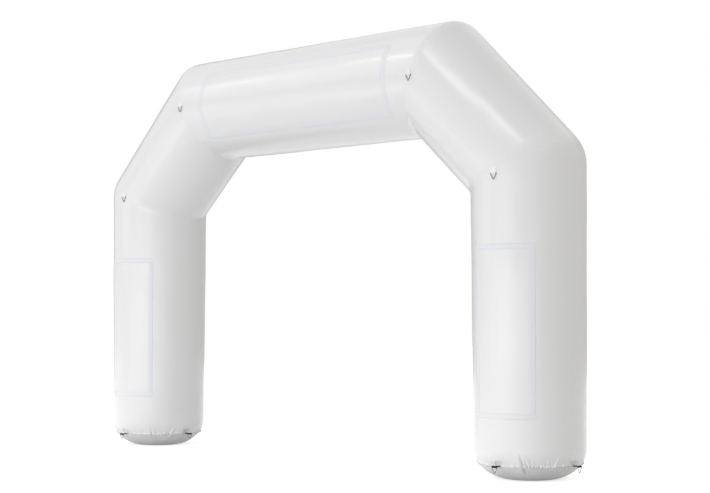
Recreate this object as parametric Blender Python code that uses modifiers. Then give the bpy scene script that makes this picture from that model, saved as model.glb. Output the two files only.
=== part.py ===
"""Inflatable advertising arch: five mitred air tubes on two dished feet, with guy rings,
loop-tape banner frames and the two air valves on the back of the legs.

Metres, +Z up. The origin is on the floor, midway between the feet. X runs along the span
and the front faces -Y.
"""

import math

import bmesh
import bpy
from mathutils import Matrix, Vector

# Centre line of the tubes
LEG_HEIGHT = 2.608              # floor to the mitre at the top of a leg
SHOULDER_RUN = 0.912            # sideways reach of a sloping shoulder
SHOULDER_RISE = 0.884           # height that a shoulder gains
BEAM_HALF_LENGTH = 1.517        # middle of the arch to the mitre of the crossbeam

# Tube radii, swelling a little towards the crossbeam
LEG_FOOT_RADIUS = 0.478
LEG_TOP_RADIUS = 0.4935
BEAM_RADIUS = 0.508

# Skin and seams
SKIN = 0.0010                   # coated fabric
GAP = 0.0003                    # between two pieces that touch
TUBE_SIDES = 32
LEG_MITRE_ROUND = 0.137         # tangent length of the air-swollen corner, on its outer side
BEAM_MITRE_ROUND = 0.060
LEAST_MITRE_ROUND = 0.030       # the same on the inner side, where the crease is tight
MITRE_ROUND_POWER = 1.3
SEAM_TAPE_WIDTH = 0.040
SEAM_TAPE = 0.0008
MITRE_RUN_SHARE = 1.5           # shortest mitre zone of a skin, in half tape widths

# Foot
FOOT_SEAM_HEIGHT = 0.130
FOOT_SEAM_INSET = 0.038         # the seam lies this far inside the leg's wall
FOOT_CURVE_HEIGHT = 0.130       # the wall curves in over this height above the seam
FOOT_WALL_FULLNESS_SHARE = 0.5
CONTACT_RADIUS = 0.215          # flat patch on the floor
DISH_SHOULDER_SHARES = (0.578, 0.154)   # radial and height place of the dish curve's control point
FOOT_SEAM_GAP = 0.0008
FIN_WIDTH = 0.012               # welded flange round the foot
FIN_THICKNESS = 0.0020

# Loop-tape frames that banners stick to
LOOP_TAPE_WIDTH = 0.050
LOOP_TAPE = 0.0015
LEG_FRAME_BOTTOM = 0.520
LEG_FRAME_HEIGHT = 1.450
LEG_FRAME_ANGLES = (-29.5, 42.0)        # degrees from the front, towards +X
BEAM_FRAME_HALF_LENGTH = 1.235
BEAM_FRAME_ANGLES = (-43.5, 37.5)       # degrees above the horizontal

# Webbing tabs and triangle rings
WEBBING_WIDTH = 0.046
WEBBING_PLY = 0.0016
TAB_LAP = 0.048                 # stitched run above the eye of a corner tab
STRAP_FREE_LENGTH = 0.046       # foot tab, from the fin's edge to the eye
EYE_CLEARANCE = 0.0005
EYE_STEPS = 6                   # straight pieces round an eye
RING_WIRE = 0.0055
RING_BEND = 0.0050
RING_HEIGHT = 0.052             # bar to tip, along the wire's middle
RING_SIDE_CLEARANCE = 0.0010

# Bar of a corner ring below the mitre that it is sewn over
LEFT_LEG_RING_DROP = -0.012
LEFT_BEAM_RING_DROP = 0.005
RIGHT_LEG_RING_DROP = 0.051
RIGHT_BEAM_RING_DROP = 0.013

# Inflation valve, on the back of the right leg
VALVE_HEIGHT = 0.390
VALVE_FIT = 0.0005
VALVE_FLANGE_RADIUS = 0.045
VALVE_FLANGE = 0.0030
VALVE_NECK_RADIUS = 0.0280
VALVE_NECK_HEIGHT = 0.020
VALVE_BORE_RADIUS = 0.0215
VALVE_SEAT_RADIUS = 0.0180
VALVE_NUT_RADIUS = 0.0360
VALVE_NUT_HEIGHT = 0.0070
VALVE_CAP_WALL = 0.0040
VALVE_CAP_TOP = 0.0035
VALVE_GRIP_WIDTH = 0.0080
VALVE_GRIP_HEIGHT = 0.0070
VALVE_POPPET_LAP = 0.0025       # poppet beyond the seat's edge
VALVE_POPPET = 0.0030
VALVE_BUTTON_RADIUS = 0.0085
VALVE_BUTTON = 0.0025
VALVE_BUTTON_HEIGHT = 0.0120    # underside of the button above the skin

# Parts that both valves have alike
SPIDER_HUB_RADIUS = 0.0065
SPIDER_THICKNESS = 0.0030
SPIDER_ARM = 0.0040
STEM_RADIUS = 0.0030
STEM_CLEARANCE = 0.0004
SPRING_RADIUS = 0.0052
SPRING_WIRE = 0.0009
SPRING_TURNS = 4
SPRING_STEPS = 8                # straight pieces in a turn
SPRING_END_GAP = 0.0006

# Relief valve, on the back of the left leg
RELIEF_FLANGE_RADIUS = 0.034
RELIEF_NECK_RADIUS = 0.0205
RELIEF_NECK_HEIGHT = 0.0080
RELIEF_BORE_RADIUS = 0.0150
RELIEF_DISC_LAP = 0.0030
RELIEF_DISC = 0.0025
RELIEF_RETAINER_RADIUS = 0.0080
RELIEF_RETAINER = 0.0020
RELIEF_SPRING_LENGTH = 0.0120
RELIEF_LIFT = 0.0050            # travel of the disc
COVER_WALL = 0.0025
COVER_THREAD_HEIGHT = 0.0060
COVER_AIR_SPACE = 0.0020
VENT_RADIUS = 0.0022
VENT_COUNT = 6

OVERRUN = 0.0050                # cutters pass this far through what they cut
VALVE_SIDES = 24
STEM_SIDES = 16

# Colour, roughness and metallic value of each finish
FINISHES = {
    "white_skin": ((0.86, 0.86, 0.85), 0.28, 0.0),
    "foot_skin": ((0.84, 0.84, 0.83), 0.35, 0.0),
    "seam_tape": ((0.82, 0.82, 0.81), 0.35, 0.0),
    "loop_tape": ((0.84, 0.84, 0.88), 0.85, 0.0),
    "white_webbing": ((0.80, 0.80, 0.79), 0.70, 0.0),
    "black_webbing": ((0.02, 0.02, 0.02), 0.75, 0.0),
    "ring_metal": ((0.70, 0.60, 0.42), 0.25, 1.0),
    "valve_plastic": ((0.55, 0.56, 0.57), 0.45, 0.0),
    "valve_black": ((0.03, 0.03, 0.03), 0.45, 0.0),
    "spring_steel": ((0.62, 0.62, 0.64), 0.30, 1.0),
}

# Worked out from the sizes above
LEG_X = BEAM_HALF_LENGTH + SHOULDER_RUN
BEAM_HEIGHT = LEG_HEIGHT + SHOULDER_RISE
SHOULDER_LEAN = math.atan2(SHOULDER_RUN, SHOULDER_RISE)
LEG_MITRE = SHOULDER_LEAN / 2                       # half the turn between leg and shoulder
BEAM_MITRE = (math.pi / 2 - SHOULDER_LEAN) / 2      # half the turn between shoulder and beam
FOOT_SEAM_RADIUS = LEG_FOOT_RADIUS - FOOT_SEAM_INSET
FOOT_WALL_TOP = FOOT_SEAM_HEIGHT + FOOT_CURVE_HEIGHT
EYE_INNER = RING_WIRE / 2 + EYE_CLEARANCE
EYE_OUTER = EYE_INNER + WEBBING_PLY
FIN_INNER = FOOT_SEAM_RADIUS + FIN_THICKNESS / 2 + GAP
FIN_OUTER = FIN_INNER + FIN_WIDTH
FOOT_RING_RADIUS = FIN_OUTER + STRAP_FREE_LENGTH


def clear_scene():
    for old in list(bpy.data.objects):
        bpy.data.objects.remove(old, do_unlink=True)


def make_collection(name):
    collection = bpy.data.collections.new(name)
    bpy.context.scene.collection.children.link(collection)
    return collection


clear_scene()
PARTS = make_collection("inflatable_arch")
CUTTERS = make_collection("cutters")


def finish(obj, kind):
    """Give the object its own Principled material."""
    colour, roughness, metallic = FINISHES[kind]
    material = bpy.data.materials.new(obj.name + "_" + kind)
    material.use_nodes = True
    shader = material.node_tree.nodes["Principled BSDF"]
    shader.inputs["Base Color"].default_value = (*colour, 1.0)
    shader.inputs["Roughness"].default_value = roughness
    shader.inputs["Metallic"].default_value = metallic
    obj.data.materials.append(material)
    return obj


def mesh_object(name, points, faces, collection=PARTS):
    mesh = bpy.data.meshes.new(name)
    mesh.from_pydata([tuple(p) for p in points], [], faces)
    mesh.update()
    obj = bpy.data.objects.new(name, mesh)
    collection.objects.link(obj)
    return obj


def smooth(obj, sharp_degrees=30):
    obj.data.shade_smooth()
    obj.data.set_sharp_from_angle(angle=math.radians(sharp_degrees))
    return obj


def solidify(obj, thickness, outward=False):
    shell = obj.modifiers.new("Skin", "SOLIDIFY")
    shell.thickness = thickness
    shell.offset = 1.0 if outward else -1.0
    shell.use_even_offset = True
    return obj


def boolean(obj, tool, operation):
    cut = obj.modifiers.new(operation.title(), "BOOLEAN")
    cut.operation = operation
    cut.solver = "EXACT"
    cut.object = tool
    return obj


def hide_tool(obj):
    obj.hide_render = True
    obj.display_type = "WIRE"
    return obj


def loft(name, rings):
    """Skin a row of closed rings that have as many points each."""
    count = len(rings[0])
    points = [p for ring in rings for p in ring]
    faces = []
    for row in range(len(rings) - 1):
        for i in range(count):
            j = (i + 1) % count
            low, high = row * count, (row + 1) * count
            faces.append((low + i, low + j, high + j, high + i))
    return mesh_object(name, points, faces)


class Tube:
    """One straight tube of the arch. Its wall is a family of straight generators, one for
    each side, that bend through a short arc where they reach a mitre plane. Angle zero looks
    away from the inside of the arch and a quarter turn looks to the front."""

    def __init__(self, start, end, outward, radii, mitres, rounds):
        self.start = Vector(start)
        self.axis = Vector(end) - self.start
        self.length = self.axis.length
        self.axis.normalize()
        self.outward = Vector(outward).normalized()
        self.radii = radii
        self.mitres = mitres
        self.rounds = rounds
        turn = self.outward.cross(Vector((0.0, -1.0, 0.0))).dot(self.axis)
        self.spin = 1 if turn > 0 else -1

    def arc(self, angle, at_end, inset=0.0):
        """Radius of the bend that the generator makes at one mitre."""
        fullness = ((1 + math.cos(angle)) / 2) ** MITRE_ROUND_POWER
        least = LEAST_MITRE_ROUND
        tangent = least + (self.rounds[at_end] - least) * fullness
        return tangent / math.tan(self.mitres[at_end]) - inset * math.cos(angle)

    def place(self, along, reach, across):
        return self.start + self.axis * along + self.outward * reach + Vector((0, -across, 0))

    def near_mitre(self, angle, at_end, distance, inset=0.0):
        """Point of the wall at a distance from the mitre plane, measured along the outer skin."""
        half_turn = self.mitres[at_end]
        outer_arc = self.arc(angle, at_end)
        radius = self.radii[at_end] - inset
        bend = self.arc(angle, at_end, inset)
        reach = radius * math.cos(angle)
        beta = max(half_turn - distance / outer_arc, 0.0)
        past = max(distance - outer_arc * half_turn, 0.0)
        back = (bend * (math.tan(half_turn) - math.sin(beta)) + past
                - reach * math.tan(half_turn))
        drop = bend * (1 - math.cos(beta))
        along = self.length - back if at_end else back
        return self.place(along, reach - drop, radius * math.sin(angle))

    def mitre_distances(self, angle, at_end):
        """Stations of the skin from the mitre plane to the straight run."""
        tape = SEAM_TAPE_WIDTH / 2
        whole = max(self.arc(angle, at_end) * self.mitres[at_end], MITRE_RUN_SHARE * tape)
        return (GAP / 2, tape, (tape + whole) / 2, whole)

    def angles(self):
        steps = range(TUBE_SIDES)
        return [self.spin * 2 * math.pi * i / TUBE_SIDES for i in steps]

    def mitre_rings(self, at_end):
        """Rings from the straight run up to the mitre plane."""
        rings = []
        for station in (3, 2, 1, 0):
            rings.append([self.near_mitre(a, at_end, self.mitre_distances(a, at_end)[station])
                          for a in self.angles()])
        return rings

    def tape_half_rings(self, at_end, inset):
        edge = [self.near_mitre(a, at_end, SEAM_TAPE_WIDTH / 2, inset) for a in self.angles()]
        middle = [self.near_mitre(a, at_end, 0.0, inset) for a in self.angles()]
        return edge, middle


class Wall:
    """The straight run of a tube's faceted skin, between two of its rings."""

    def __init__(self, tube, low, high):
        self.tube = tube
        self.low = low
        self.high = high

    def station(self, index, height):
        low = self.low[index % TUBE_SIDES]
        high = self.high[index % TUBE_SIDES]
        start = (low - self.tube.start).dot(self.tube.axis)
        end = (high - self.tube.start).dot(self.tube.axis)
        return low.lerp(high, (height - start) / (end - start))

    def point(self, angle, height, lift=0.0):
        """Point on the facet at an angle and a height along the tube, lifted off it."""
        place = self.tube.spin * angle / (2 * math.pi) * TUBE_SIDES
        first = math.floor(place + 1e-9)
        share = max(place - first, 0.0)
        flat = self.station(first, height).lerp(self.station(first + 1, height), share)
        radial = (self.tube.outward * math.cos(angle)
                  + Vector((0, -math.sin(angle), 0)))
        return flat + radial * lift


def curve_points(start, control, end, steps):
    """Quadratic curve in the (radius, height) plane."""
    points = []
    for i in range(steps + 1):
        t = i / steps
        points.append(tuple((1 - t) ** 2 * a + 2 * t * (1 - t) * b + t * t * c
                            for a, b, c in zip(start, control, end)))
    return points


def foot_wall_profile():
    """The leg's wall where it curves in, from the straight run down to the seam."""
    lean = FOOT_SEAM_HEIGHT + FOOT_CURVE_HEIGHT * FOOT_WALL_FULLNESS_SHARE
    rim = FOOT_SEAM_HEIGHT + FOOT_SEAM_GAP / 2
    return curve_points((LEG_FOOT_RADIUS, FOOT_WALL_TOP), (LEG_FOOT_RADIUS, lean),
                        (FOOT_SEAM_RADIUS, rim), 3)


def dish_profile():
    """The foot cap from its rim at the seam down to the flat patch on the floor."""
    radial_share, height_share = DISH_SHOULDER_SHARES
    control = (CONTACT_RADIUS + radial_share * (FOOT_SEAM_RADIUS - CONTACT_RADIUS),
               height_share * FOOT_SEAM_HEIGHT)
    rim = FOOT_SEAM_HEIGHT - FOOT_SEAM_GAP / 2
    return curve_points((FOOT_SEAM_RADIUS, rim), control, (CONTACT_RADIUS, 0.0), 4)


def turned(name, profile, sides, closed, collection=PARTS):
    """Turn a profile of (radius, height) points about the object's own Z axis."""
    edges = [(i, i + 1) for i in range(len(profile) - 1)]
    if closed:
        edges.append((len(profile) - 1, 0))
    mesh = bpy.data.meshes.new(name)
    mesh.from_pydata([(radius, 0.0, height) for radius, height in profile], edges, [])
    obj = bpy.data.objects.new(name, mesh)
    collection.objects.link(obj)
    screw = obj.modifiers.new("Turn", "SCREW")
    screw.axis = "Z"
    screw.angle = 2 * math.pi
    screw.screw_offset = 0.0
    screw.steps = sides
    screw.render_steps = sides
    screw.use_merge_vertices = True
    screw.merge_threshold = 0.00002
    screw.use_smooth_shade = True
    return obj


def build_leg(side, sign):
    """Skin of one leg, from the foot seam to the mitre under the shoulder."""
    tube = Tube((sign * LEG_X, 0, 0), (sign * LEG_X, 0, LEG_HEIGHT), (sign, 0, 0),
                (LEG_FOOT_RADIUS, LEG_TOP_RADIUS), (LEG_MITRE, LEG_MITRE),
                (LEG_MITRE_ROUND, LEG_MITRE_ROUND))
    rings = []
    for radius, height in reversed(foot_wall_profile()):
        rings.append([tube.place(height, radius * math.cos(a), radius * math.sin(a))
                      for a in tube.angles()])
    mitre = tube.mitre_rings(True)
    wall = Wall(tube, rings[-1], mitre[0])
    skin = solidify(loft(side + "_leg_skin", rings + mitre), SKIN)
    finish(smooth(skin), "white_skin")
    return tube, wall, skin


def build_shoulder(side, sign):
    tube = Tube((sign * LEG_X, 0, LEG_HEIGHT), (sign * BEAM_HALF_LENGTH, 0, BEAM_HEIGHT),
                (sign * math.cos(SHOULDER_LEAN), 0, math.sin(SHOULDER_LEAN)),
                (LEG_TOP_RADIUS, BEAM_RADIUS), (LEG_MITRE, BEAM_MITRE),
                (LEG_MITRE_ROUND, BEAM_MITRE_ROUND))
    rings = list(reversed(tube.mitre_rings(False))) + tube.mitre_rings(True)
    skin = solidify(loft(side + "_shoulder_skin", rings), SKIN)
    finish(smooth(skin), "white_skin")
    return tube


def build_beam():
    tube = Tube((-BEAM_HALF_LENGTH, 0, BEAM_HEIGHT), (BEAM_HALF_LENGTH, 0, BEAM_HEIGHT),
                (0, 0, 1), (BEAM_RADIUS, BEAM_RADIUS), (BEAM_MITRE, BEAM_MITRE),
                (BEAM_MITRE_ROUND, BEAM_MITRE_ROUND))
    low = list(reversed(tube.mitre_rings(False)))
    high = tube.mitre_rings(True)
    wall = Wall(tube, low[-1], high[0])
    skin = solidify(loft("crossbeam_skin", low + high), SKIN)
    finish(smooth(skin), "white_skin")
    return tube, wall


def build_foot_cap(side, sign):
    """Dished floor of one leg, open at the seam, with the flat patch that it stands on."""
    cap = turned(side + "_foot_cap", dish_profile() + [(0.0, 0.0)], TUBE_SIDES, False)
    cap.location = (sign * LEG_X, 0, 0)
    solidify(cap, SKIN)
    return finish(cap, "foot_skin")


def build_foot_fin(side, sign):
    """Welded flange that runs round the foot seam and carries the webbing tabs."""
    low = FOOT_SEAM_HEIGHT - FIN_THICKNESS / 2
    high = FOOT_SEAM_HEIGHT + FIN_THICKNESS / 2
    profile = [(FIN_INNER, high), (FIN_OUTER, high), (FIN_OUTER, low), (FIN_INNER, low)]
    fin = turned(side + "_foot_seam_fin", profile, TUBE_SIDES, True)
    fin.location = (sign * LEG_X, 0, 0)
    return finish(fin, "seam_tape")


def build_seam_tape(name, lower, upper, upper_end=False):
    """Strip inside the arch that bridges a mitre seam, following both skins. The upper tube
    meets the seam with its start, or with its end, where its sides count the other way."""
    inset = SKIN + GAP
    edge, middle = lower.tape_half_rings(True, inset)
    far_edge, _ = upper.tape_half_rings(upper_end, inset)
    if upper_end:
        far_edge = far_edge[:1] + far_edge[:0:-1]
    tape = solidify(loft(name, [edge, middle, far_edge]), SEAM_TAPE)
    return finish(smooth(tape), "seam_tape")


def band_stations(low, high, width):
    """The two edges of a frame's side bands, and the skin's own corners between them."""
    step = 2 * math.pi / TUBE_SIDES
    margin = step / 10
    inner = [k * step for k in range(-TUBE_SIDES, TUBE_SIDES + 1)]
    ends = [low, low + width, high - width, high]
    corners = [a for a in inner if low < a < high and all(abs(a - e) > margin for e in ends)]
    return sorted(ends + corners), (low + width, high - width)


def build_loop_frame(name, wall, angles, heights):
    """Four bands of loop tape in a rectangle, bent round the tube."""
    radius = max(wall.tube.radii)
    stations, opening = band_stations(angles[0], angles[1], LOOP_TAPE_WIDTH / radius)
    rows = [heights[0], heights[0] + LOOP_TAPE_WIDTH, heights[1] - LOOP_TAPE_WIDTH, heights[1]]
    points = [wall.point(a, h, GAP) for h in rows for a in stations]
    count = len(stations)
    faces = []
    for row in range(3):
        for i in range(count - 1):
            middle = (stations[i] + stations[i + 1]) / 2
            if row == 1 and opening[0] < middle < opening[1]:
                continue
            corner = row * count + i
            quad = (corner, corner + 1, corner + count + 1, corner + count)
            faces.append(quad if wall.tube.spin > 0 else quad[::-1])
    mesh = mesh_object(name, points, faces)
    used = bmesh.new()
    used.from_mesh(mesh.data)
    bmesh.ops.delete(used, geom=[v for v in used.verts if not v.link_faces], context="VERTS")
    used.to_mesh(mesh.data)
    used.free()
    solidify(mesh, LOOP_TAPE, outward=True)
    return finish(smooth(mesh), "loop_tape")


def leg_frame_angles(tube, back):
    """The leg frame's edges as angles of the tube, which count from its outer side."""
    turned_round = math.pi if back else 0.0
    angles = []
    for degrees in LEG_FRAME_ANGLES:
        azimuth = math.radians(degrees) + turned_round
        side = math.sin(azimuth) * tube.outward.x
        angles.append(math.atan2(math.cos(azimuth), side))
    low, high = sorted(angles)
    if high - low > math.pi:
        low, high = high, low + 2 * math.pi
    return low, high


def beam_frame_angles(back):
    low, high = (math.pi / 2 - math.radians(a) for a in reversed(BEAM_FRAME_ANGLES))
    return (-high, -low) if back else (low, high)


def build_frames(legs, beam_wall):
    heights = (LEG_FRAME_BOTTOM, LEG_FRAME_BOTTOM + LEG_FRAME_HEIGHT)
    along = (BEAM_HALF_LENGTH - BEAM_FRAME_HALF_LENGTH,
             BEAM_HALF_LENGTH + BEAM_FRAME_HALF_LENGTH)
    for back, face in ((False, "front"), (True, "back")):
        for side, (tube, wall) in legs.items():
            build_loop_frame(f"{side}_leg_{face}_loop_frame", wall,
                             leg_frame_angles(tube, back), heights)
        build_loop_frame(f"crossbeam_{face}_loop_frame", beam_wall,
                         beam_frame_angles(back), along)


def ring_path():
    """Middle line of a triangle ring: a straight bar on top and two arms to a rounded tip."""
    half_bar = WEBBING_WIDTH / 2 + RING_SIDE_CLEARANCE
    shoulder = Vector((half_bar, -RING_BEND))
    tip = Vector((0.0, RING_BEND - RING_HEIGHT))
    arm = tip - shoulder
    end_angle = math.atan2(arm.y, arm.x) + math.pi / 2
    steps = 3
    right = []
    for i in range(steps + 1):
        angle = math.pi / 2 + (end_angle - math.pi / 2) * i / steps
        right.append(shoulder + RING_BEND * Vector((math.cos(angle), math.sin(angle))))
    for i in range(2):
        angle = end_angle + (-math.pi / 2 - end_angle) * i / steps * 2
        right.append(tip + RING_BEND * Vector((math.cos(angle), math.sin(angle))))
    left = [Vector((-p.x, p.y)) for p in reversed(right)]
    return right + left


def poly_curve(name, paths, closed=True):
    curve = bpy.data.curves.new(name, "CURVE")
    for path in paths:
        spline = curve.splines.new("POLY")
        spline.points.add(len(path) - 1)
        for point, place in zip(spline.points, path):
            point.co = (*place, *([0.0] * (3 - len(place))), 1.0)
        spline.use_cyclic_u = closed
    obj = bpy.data.objects.new(name, curve)
    PARTS.objects.link(obj)
    return obj


def build_ring(name, axis_empty):
    ring = poly_curve(name, [ring_path()])
    ring.data.dimensions = "3D"
    ring.data.bevel_depth = RING_WIRE / 2
    ring.data.bevel_resolution = 1
    ring.rotation_euler = (math.pi / 2, 0, 0)
    ring.parent = axis_empty
    return finish(ring, "ring_metal")


def arc_points(radius, start, end, steps):
    points = []
    for i in range(steps + 1):
        angle = start + (end - start) * i / steps
        points.append((radius * math.cos(angle), radius * math.sin(angle)))
    return points


def corner_tab_outline():
    """Side view of a corner tab: an eye round the bar and two plies that run up the skin."""
    face = 2 * WEBBING_PLY - EYE_OUTER
    meet = math.acos(face / EYE_OUTER)
    eye = arc_points(EYE_OUTER, -math.pi, meet, EYE_STEPS)
    return [(-EYE_OUTER, TAB_LAP)] + eye + [(face, TAB_LAP)]


def foot_tab_outline():
    """Side view of a foot tab: an eye, a strap, and two plies folded round the fin."""
    ply = WEBBING_PLY
    fork = FIN_THICKNESS / 2 + GAP
    crotch = FIN_OUTER + GAP - FOOT_RING_RADIUS
    root = FIN_INNER + fork + ply - FOOT_RING_RADIUS
    slope = crotch + fork + ply
    meet = math.asin(ply / EYE_OUTER)
    eye = arc_points(EYE_OUTER, meet - math.pi, math.pi - meet, EYE_STEPS)
    lower = [(root, -fork - ply), (crotch, -fork - ply), (slope, -ply)]
    upper = [(x, -y) for x, y in reversed(lower)]
    return lower + eye + upper + [(root, fork), (crotch, fork), (crotch, -fork), (root, -fork)]


def build_tab(name, outline, kind, axis_empty):
    eye = arc_points(EYE_INNER, 0.0, 2 * math.pi, EYE_STEPS)[:-1]
    tab = poly_curve(name, [outline, eye])
    tab.data.dimensions = "2D"
    tab.data.fill_mode = "BOTH"
    tab.data.extrude = WEBBING_WIDTH / 2
    tab.rotation_euler = (math.pi / 2, 0, -math.pi / 2)
    tab.parent = axis_empty
    return finish(tab, kind)


def ring_axis(name, place, azimuth):
    """Empty on the bar of a ring. Its own -Y looks away from the skin."""
    empty = bpy.data.objects.new(name, None)
    empty.location = place
    empty.rotation_euler = (0, 0, azimuth)
    PARTS.objects.link(empty)
    return empty


def build_corner_rings():
    """A ring on the front and the back of each mitre."""
    leg_out = LEG_TOP_RADIUS + GAP + EYE_OUTER
    beam_out = BEAM_RADIUS + GAP + EYE_OUTER
    corners = {"left_leg": (-LEG_X, leg_out, LEG_HEIGHT - LEFT_LEG_RING_DROP),
               "left_beam": (-BEAM_HALF_LENGTH, beam_out, BEAM_HEIGHT - LEFT_BEAM_RING_DROP),
               "right_leg": (LEG_X, leg_out, LEG_HEIGHT - RIGHT_LEG_RING_DROP),
               "right_beam": (BEAM_HALF_LENGTH, beam_out, BEAM_HEIGHT - RIGHT_BEAM_RING_DROP)}
    for corner, (x, out, height) in corners.items():
        for face, azimuth in (("front", 0.0), ("back", math.pi)):
            name = f"{corner}_{face}"
            place = (x, -out * math.cos(azimuth), height)
            empty = ring_axis(name + "_ring_axis", place, azimuth)
            build_tab(name + "_tab", corner_tab_outline(), "white_webbing", empty)
            build_ring(name + "_ring", empty)


def build_foot_rings():
    """Four rings round each foot, a quarter turn apart."""
    for side, sign in (("left", -1), ("right", 1)):
        faces = {"front": 0.0, "back": math.pi,
                 "outer": sign * math.pi / 2, "inner": -sign * math.pi / 2}
        for face, azimuth in faces.items():
            name = f"{side}_foot_{face}"
            place = (sign * LEG_X + FOOT_RING_RADIUS * math.sin(azimuth),
                     -FOOT_RING_RADIUS * math.cos(azimuth), FOOT_SEAM_HEIGHT)
            empty = ring_axis(name + "_ring_axis", place, azimuth)
            build_tab(name + "_tab", foot_tab_outline(), "black_webbing", empty)
            build_ring(name + "_ring", empty)


def valve_axis(name, wall):
    """Empty on the skin of a leg's back. Its own +Z points out of the arch."""
    empty = bpy.data.objects.new(name, None)
    empty.location = wall.point(-math.pi / 2, VALVE_HEIGHT)
    empty.rotation_euler = (-math.pi / 2, 0, 0)
    PARTS.objects.link(empty)
    return empty


def valve_hole(skin, name, radius, axis_empty):
    """Round hole through the skin for a valve's neck."""
    bpy.ops.mesh.primitive_cylinder_add(vertices=VALVE_SIDES, radius=radius, depth=4 * OVERRUN)
    tool = bpy.context.object
    tool.name = name
    for collection in list(tool.users_collection):
        collection.objects.unlink(tool)
    CUTTERS.objects.link(tool)
    tool.parent = axis_empty
    boolean(skin, hide_tool(tool), "DIFFERENCE")


def flange_top(radius):
    """Height of a flange inside the faceted skin, under the outer surface."""
    return -(SKIN + GAP + radius * math.tan(math.pi / TUBE_SIDES))


def prism(name, outline, low, high):
    """Upright block over an outline in the (x, y) plane, kept as a cutter."""
    count = len(outline)
    points = [(x, y, height) for height in (low, high) for x, y in outline]
    faces = [tuple(reversed(range(count))), tuple(range(count, 2 * count))]
    for i in range(count):
        j = (i + 1) % count
        faces.append((i, j, count + j, count + i))
    return hide_tool(mesh_object(name, points, faces, CUTTERS))


def spider_outline(bore):
    """Round hub with three arms that reach into the wall of a bore."""
    half = SPIDER_ARM / 2
    reach = bore + half
    meet = math.asin(half / SPIDER_HUB_RADIUS)
    outline = []
    for i in range(3):
        turn = Matrix.Rotation(2 * math.pi * i / 3, 2)
        hub = arc_points(SPIDER_HUB_RADIUS, meet, 2 * math.pi / 3 - meet, 3)
        outline += [turn @ Vector(p) for p in [(reach, -half), (reach, half)] + hub]
    return outline


def add_spider(body, hub_low, bore, axis_empty):
    """Guide for a stem: hub and arms joined to the body, and the hole for the stem."""
    hub_high = hub_low + SPIDER_THICKNESS
    arms = prism(body.name + "_spider", spider_outline(bore), hub_low, hub_high)
    arms.parent = axis_empty
    boolean(body, arms, "UNION")
    radius = STEM_RADIUS + STEM_CLEARANCE
    low, high = hub_low - OVERRUN, hub_high + OVERRUN
    hole = turned(body.name + "_stem_hole",
                  [(0, high), (radius, high), (radius, low), (0, low)], STEM_SIDES, False, CUTTERS)
    hole.parent = axis_empty
    boolean(body, hide_tool(hole), "DIFFERENCE")


def build_spring(name, low, high, axis_empty):
    """Coil round a stem, between its two seats."""
    start = low + SPRING_END_GAP + SPRING_WIRE / 2
    rise = high - low - 2 * SPRING_END_GAP - SPRING_WIRE
    steps = SPRING_TURNS * SPRING_STEPS
    path = []
    for i in range(steps + 1):
        angle = 2 * math.pi * SPRING_TURNS * i / steps
        path.append((SPRING_RADIUS * math.cos(angle), SPRING_RADIUS * math.sin(angle),
                     start + rise * i / steps))
    spring = poly_curve(name, [path], closed=False)
    spring.data.dimensions = "3D"
    spring.data.bevel_depth = SPRING_WIRE / 2
    spring.data.bevel_resolution = 1
    spring.data.use_fill_caps = True
    spring.parent = axis_empty
    return finish(spring, "spring_steel")


def build_inflation_valve(wall, skin):
    axis_empty = valve_axis("inflation_valve_axis", wall)
    top = flange_top(VALVE_FLANGE_RADIUS)
    low = top - VALVE_FLANGE
    valve_hole(skin, "inflation_valve_hole", VALVE_NECK_RADIUS + VALVE_FIT, axis_empty)

    profile = [(VALVE_NECK_RADIUS, VALVE_NECK_HEIGHT), (VALVE_NECK_RADIUS, top),
               (VALVE_FLANGE_RADIUS, top), (VALVE_FLANGE_RADIUS, low), (VALVE_SEAT_RADIUS, low),
               (VALVE_SEAT_RADIUS, top), (VALVE_BORE_RADIUS, top),
               (VALVE_BORE_RADIUS, VALVE_NECK_HEIGHT)]
    body = turned("inflation_valve_body", profile, VALVE_SIDES, True)
    body.parent = axis_empty
    add_spider(body, 0.0, VALVE_BORE_RADIUS, axis_empty)
    finish(body, "valve_plastic")

    inner = VALVE_NECK_RADIUS + VALVE_FIT
    nut_top = GAP + VALVE_NUT_HEIGHT
    nut = turned("inflation_valve_nut", [(inner, nut_top), (VALVE_NUT_RADIUS, nut_top),
                                         (VALVE_NUT_RADIUS, GAP), (inner, GAP)], VALVE_SIDES, True)
    nut.parent = axis_empty
    finish(nut, "valve_plastic")

    poppet = VALVE_SEAT_RADIUS + VALVE_POPPET_LAP
    seat = low - GAP
    button_top = VALVE_BUTTON_HEIGHT + VALVE_BUTTON
    stem = [(0, button_top), (VALVE_BUTTON_RADIUS, button_top),
            (VALVE_BUTTON_RADIUS, VALVE_BUTTON_HEIGHT), (STEM_RADIUS, VALVE_BUTTON_HEIGHT),
            (STEM_RADIUS, seat), (poppet, seat), (poppet, seat - VALVE_POPPET),
            (0, seat - VALVE_POPPET)]
    plunger = turned("inflation_valve_plunger", stem, STEM_SIDES, False)
    plunger.parent = axis_empty
    finish(plunger, "valve_black")

    build_spring("inflation_valve_spring", SPIDER_THICKNESS, VALVE_BUTTON_HEIGHT, axis_empty)
    build_cap(nut_top + GAP, axis_empty)
    return axis_empty


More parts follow.
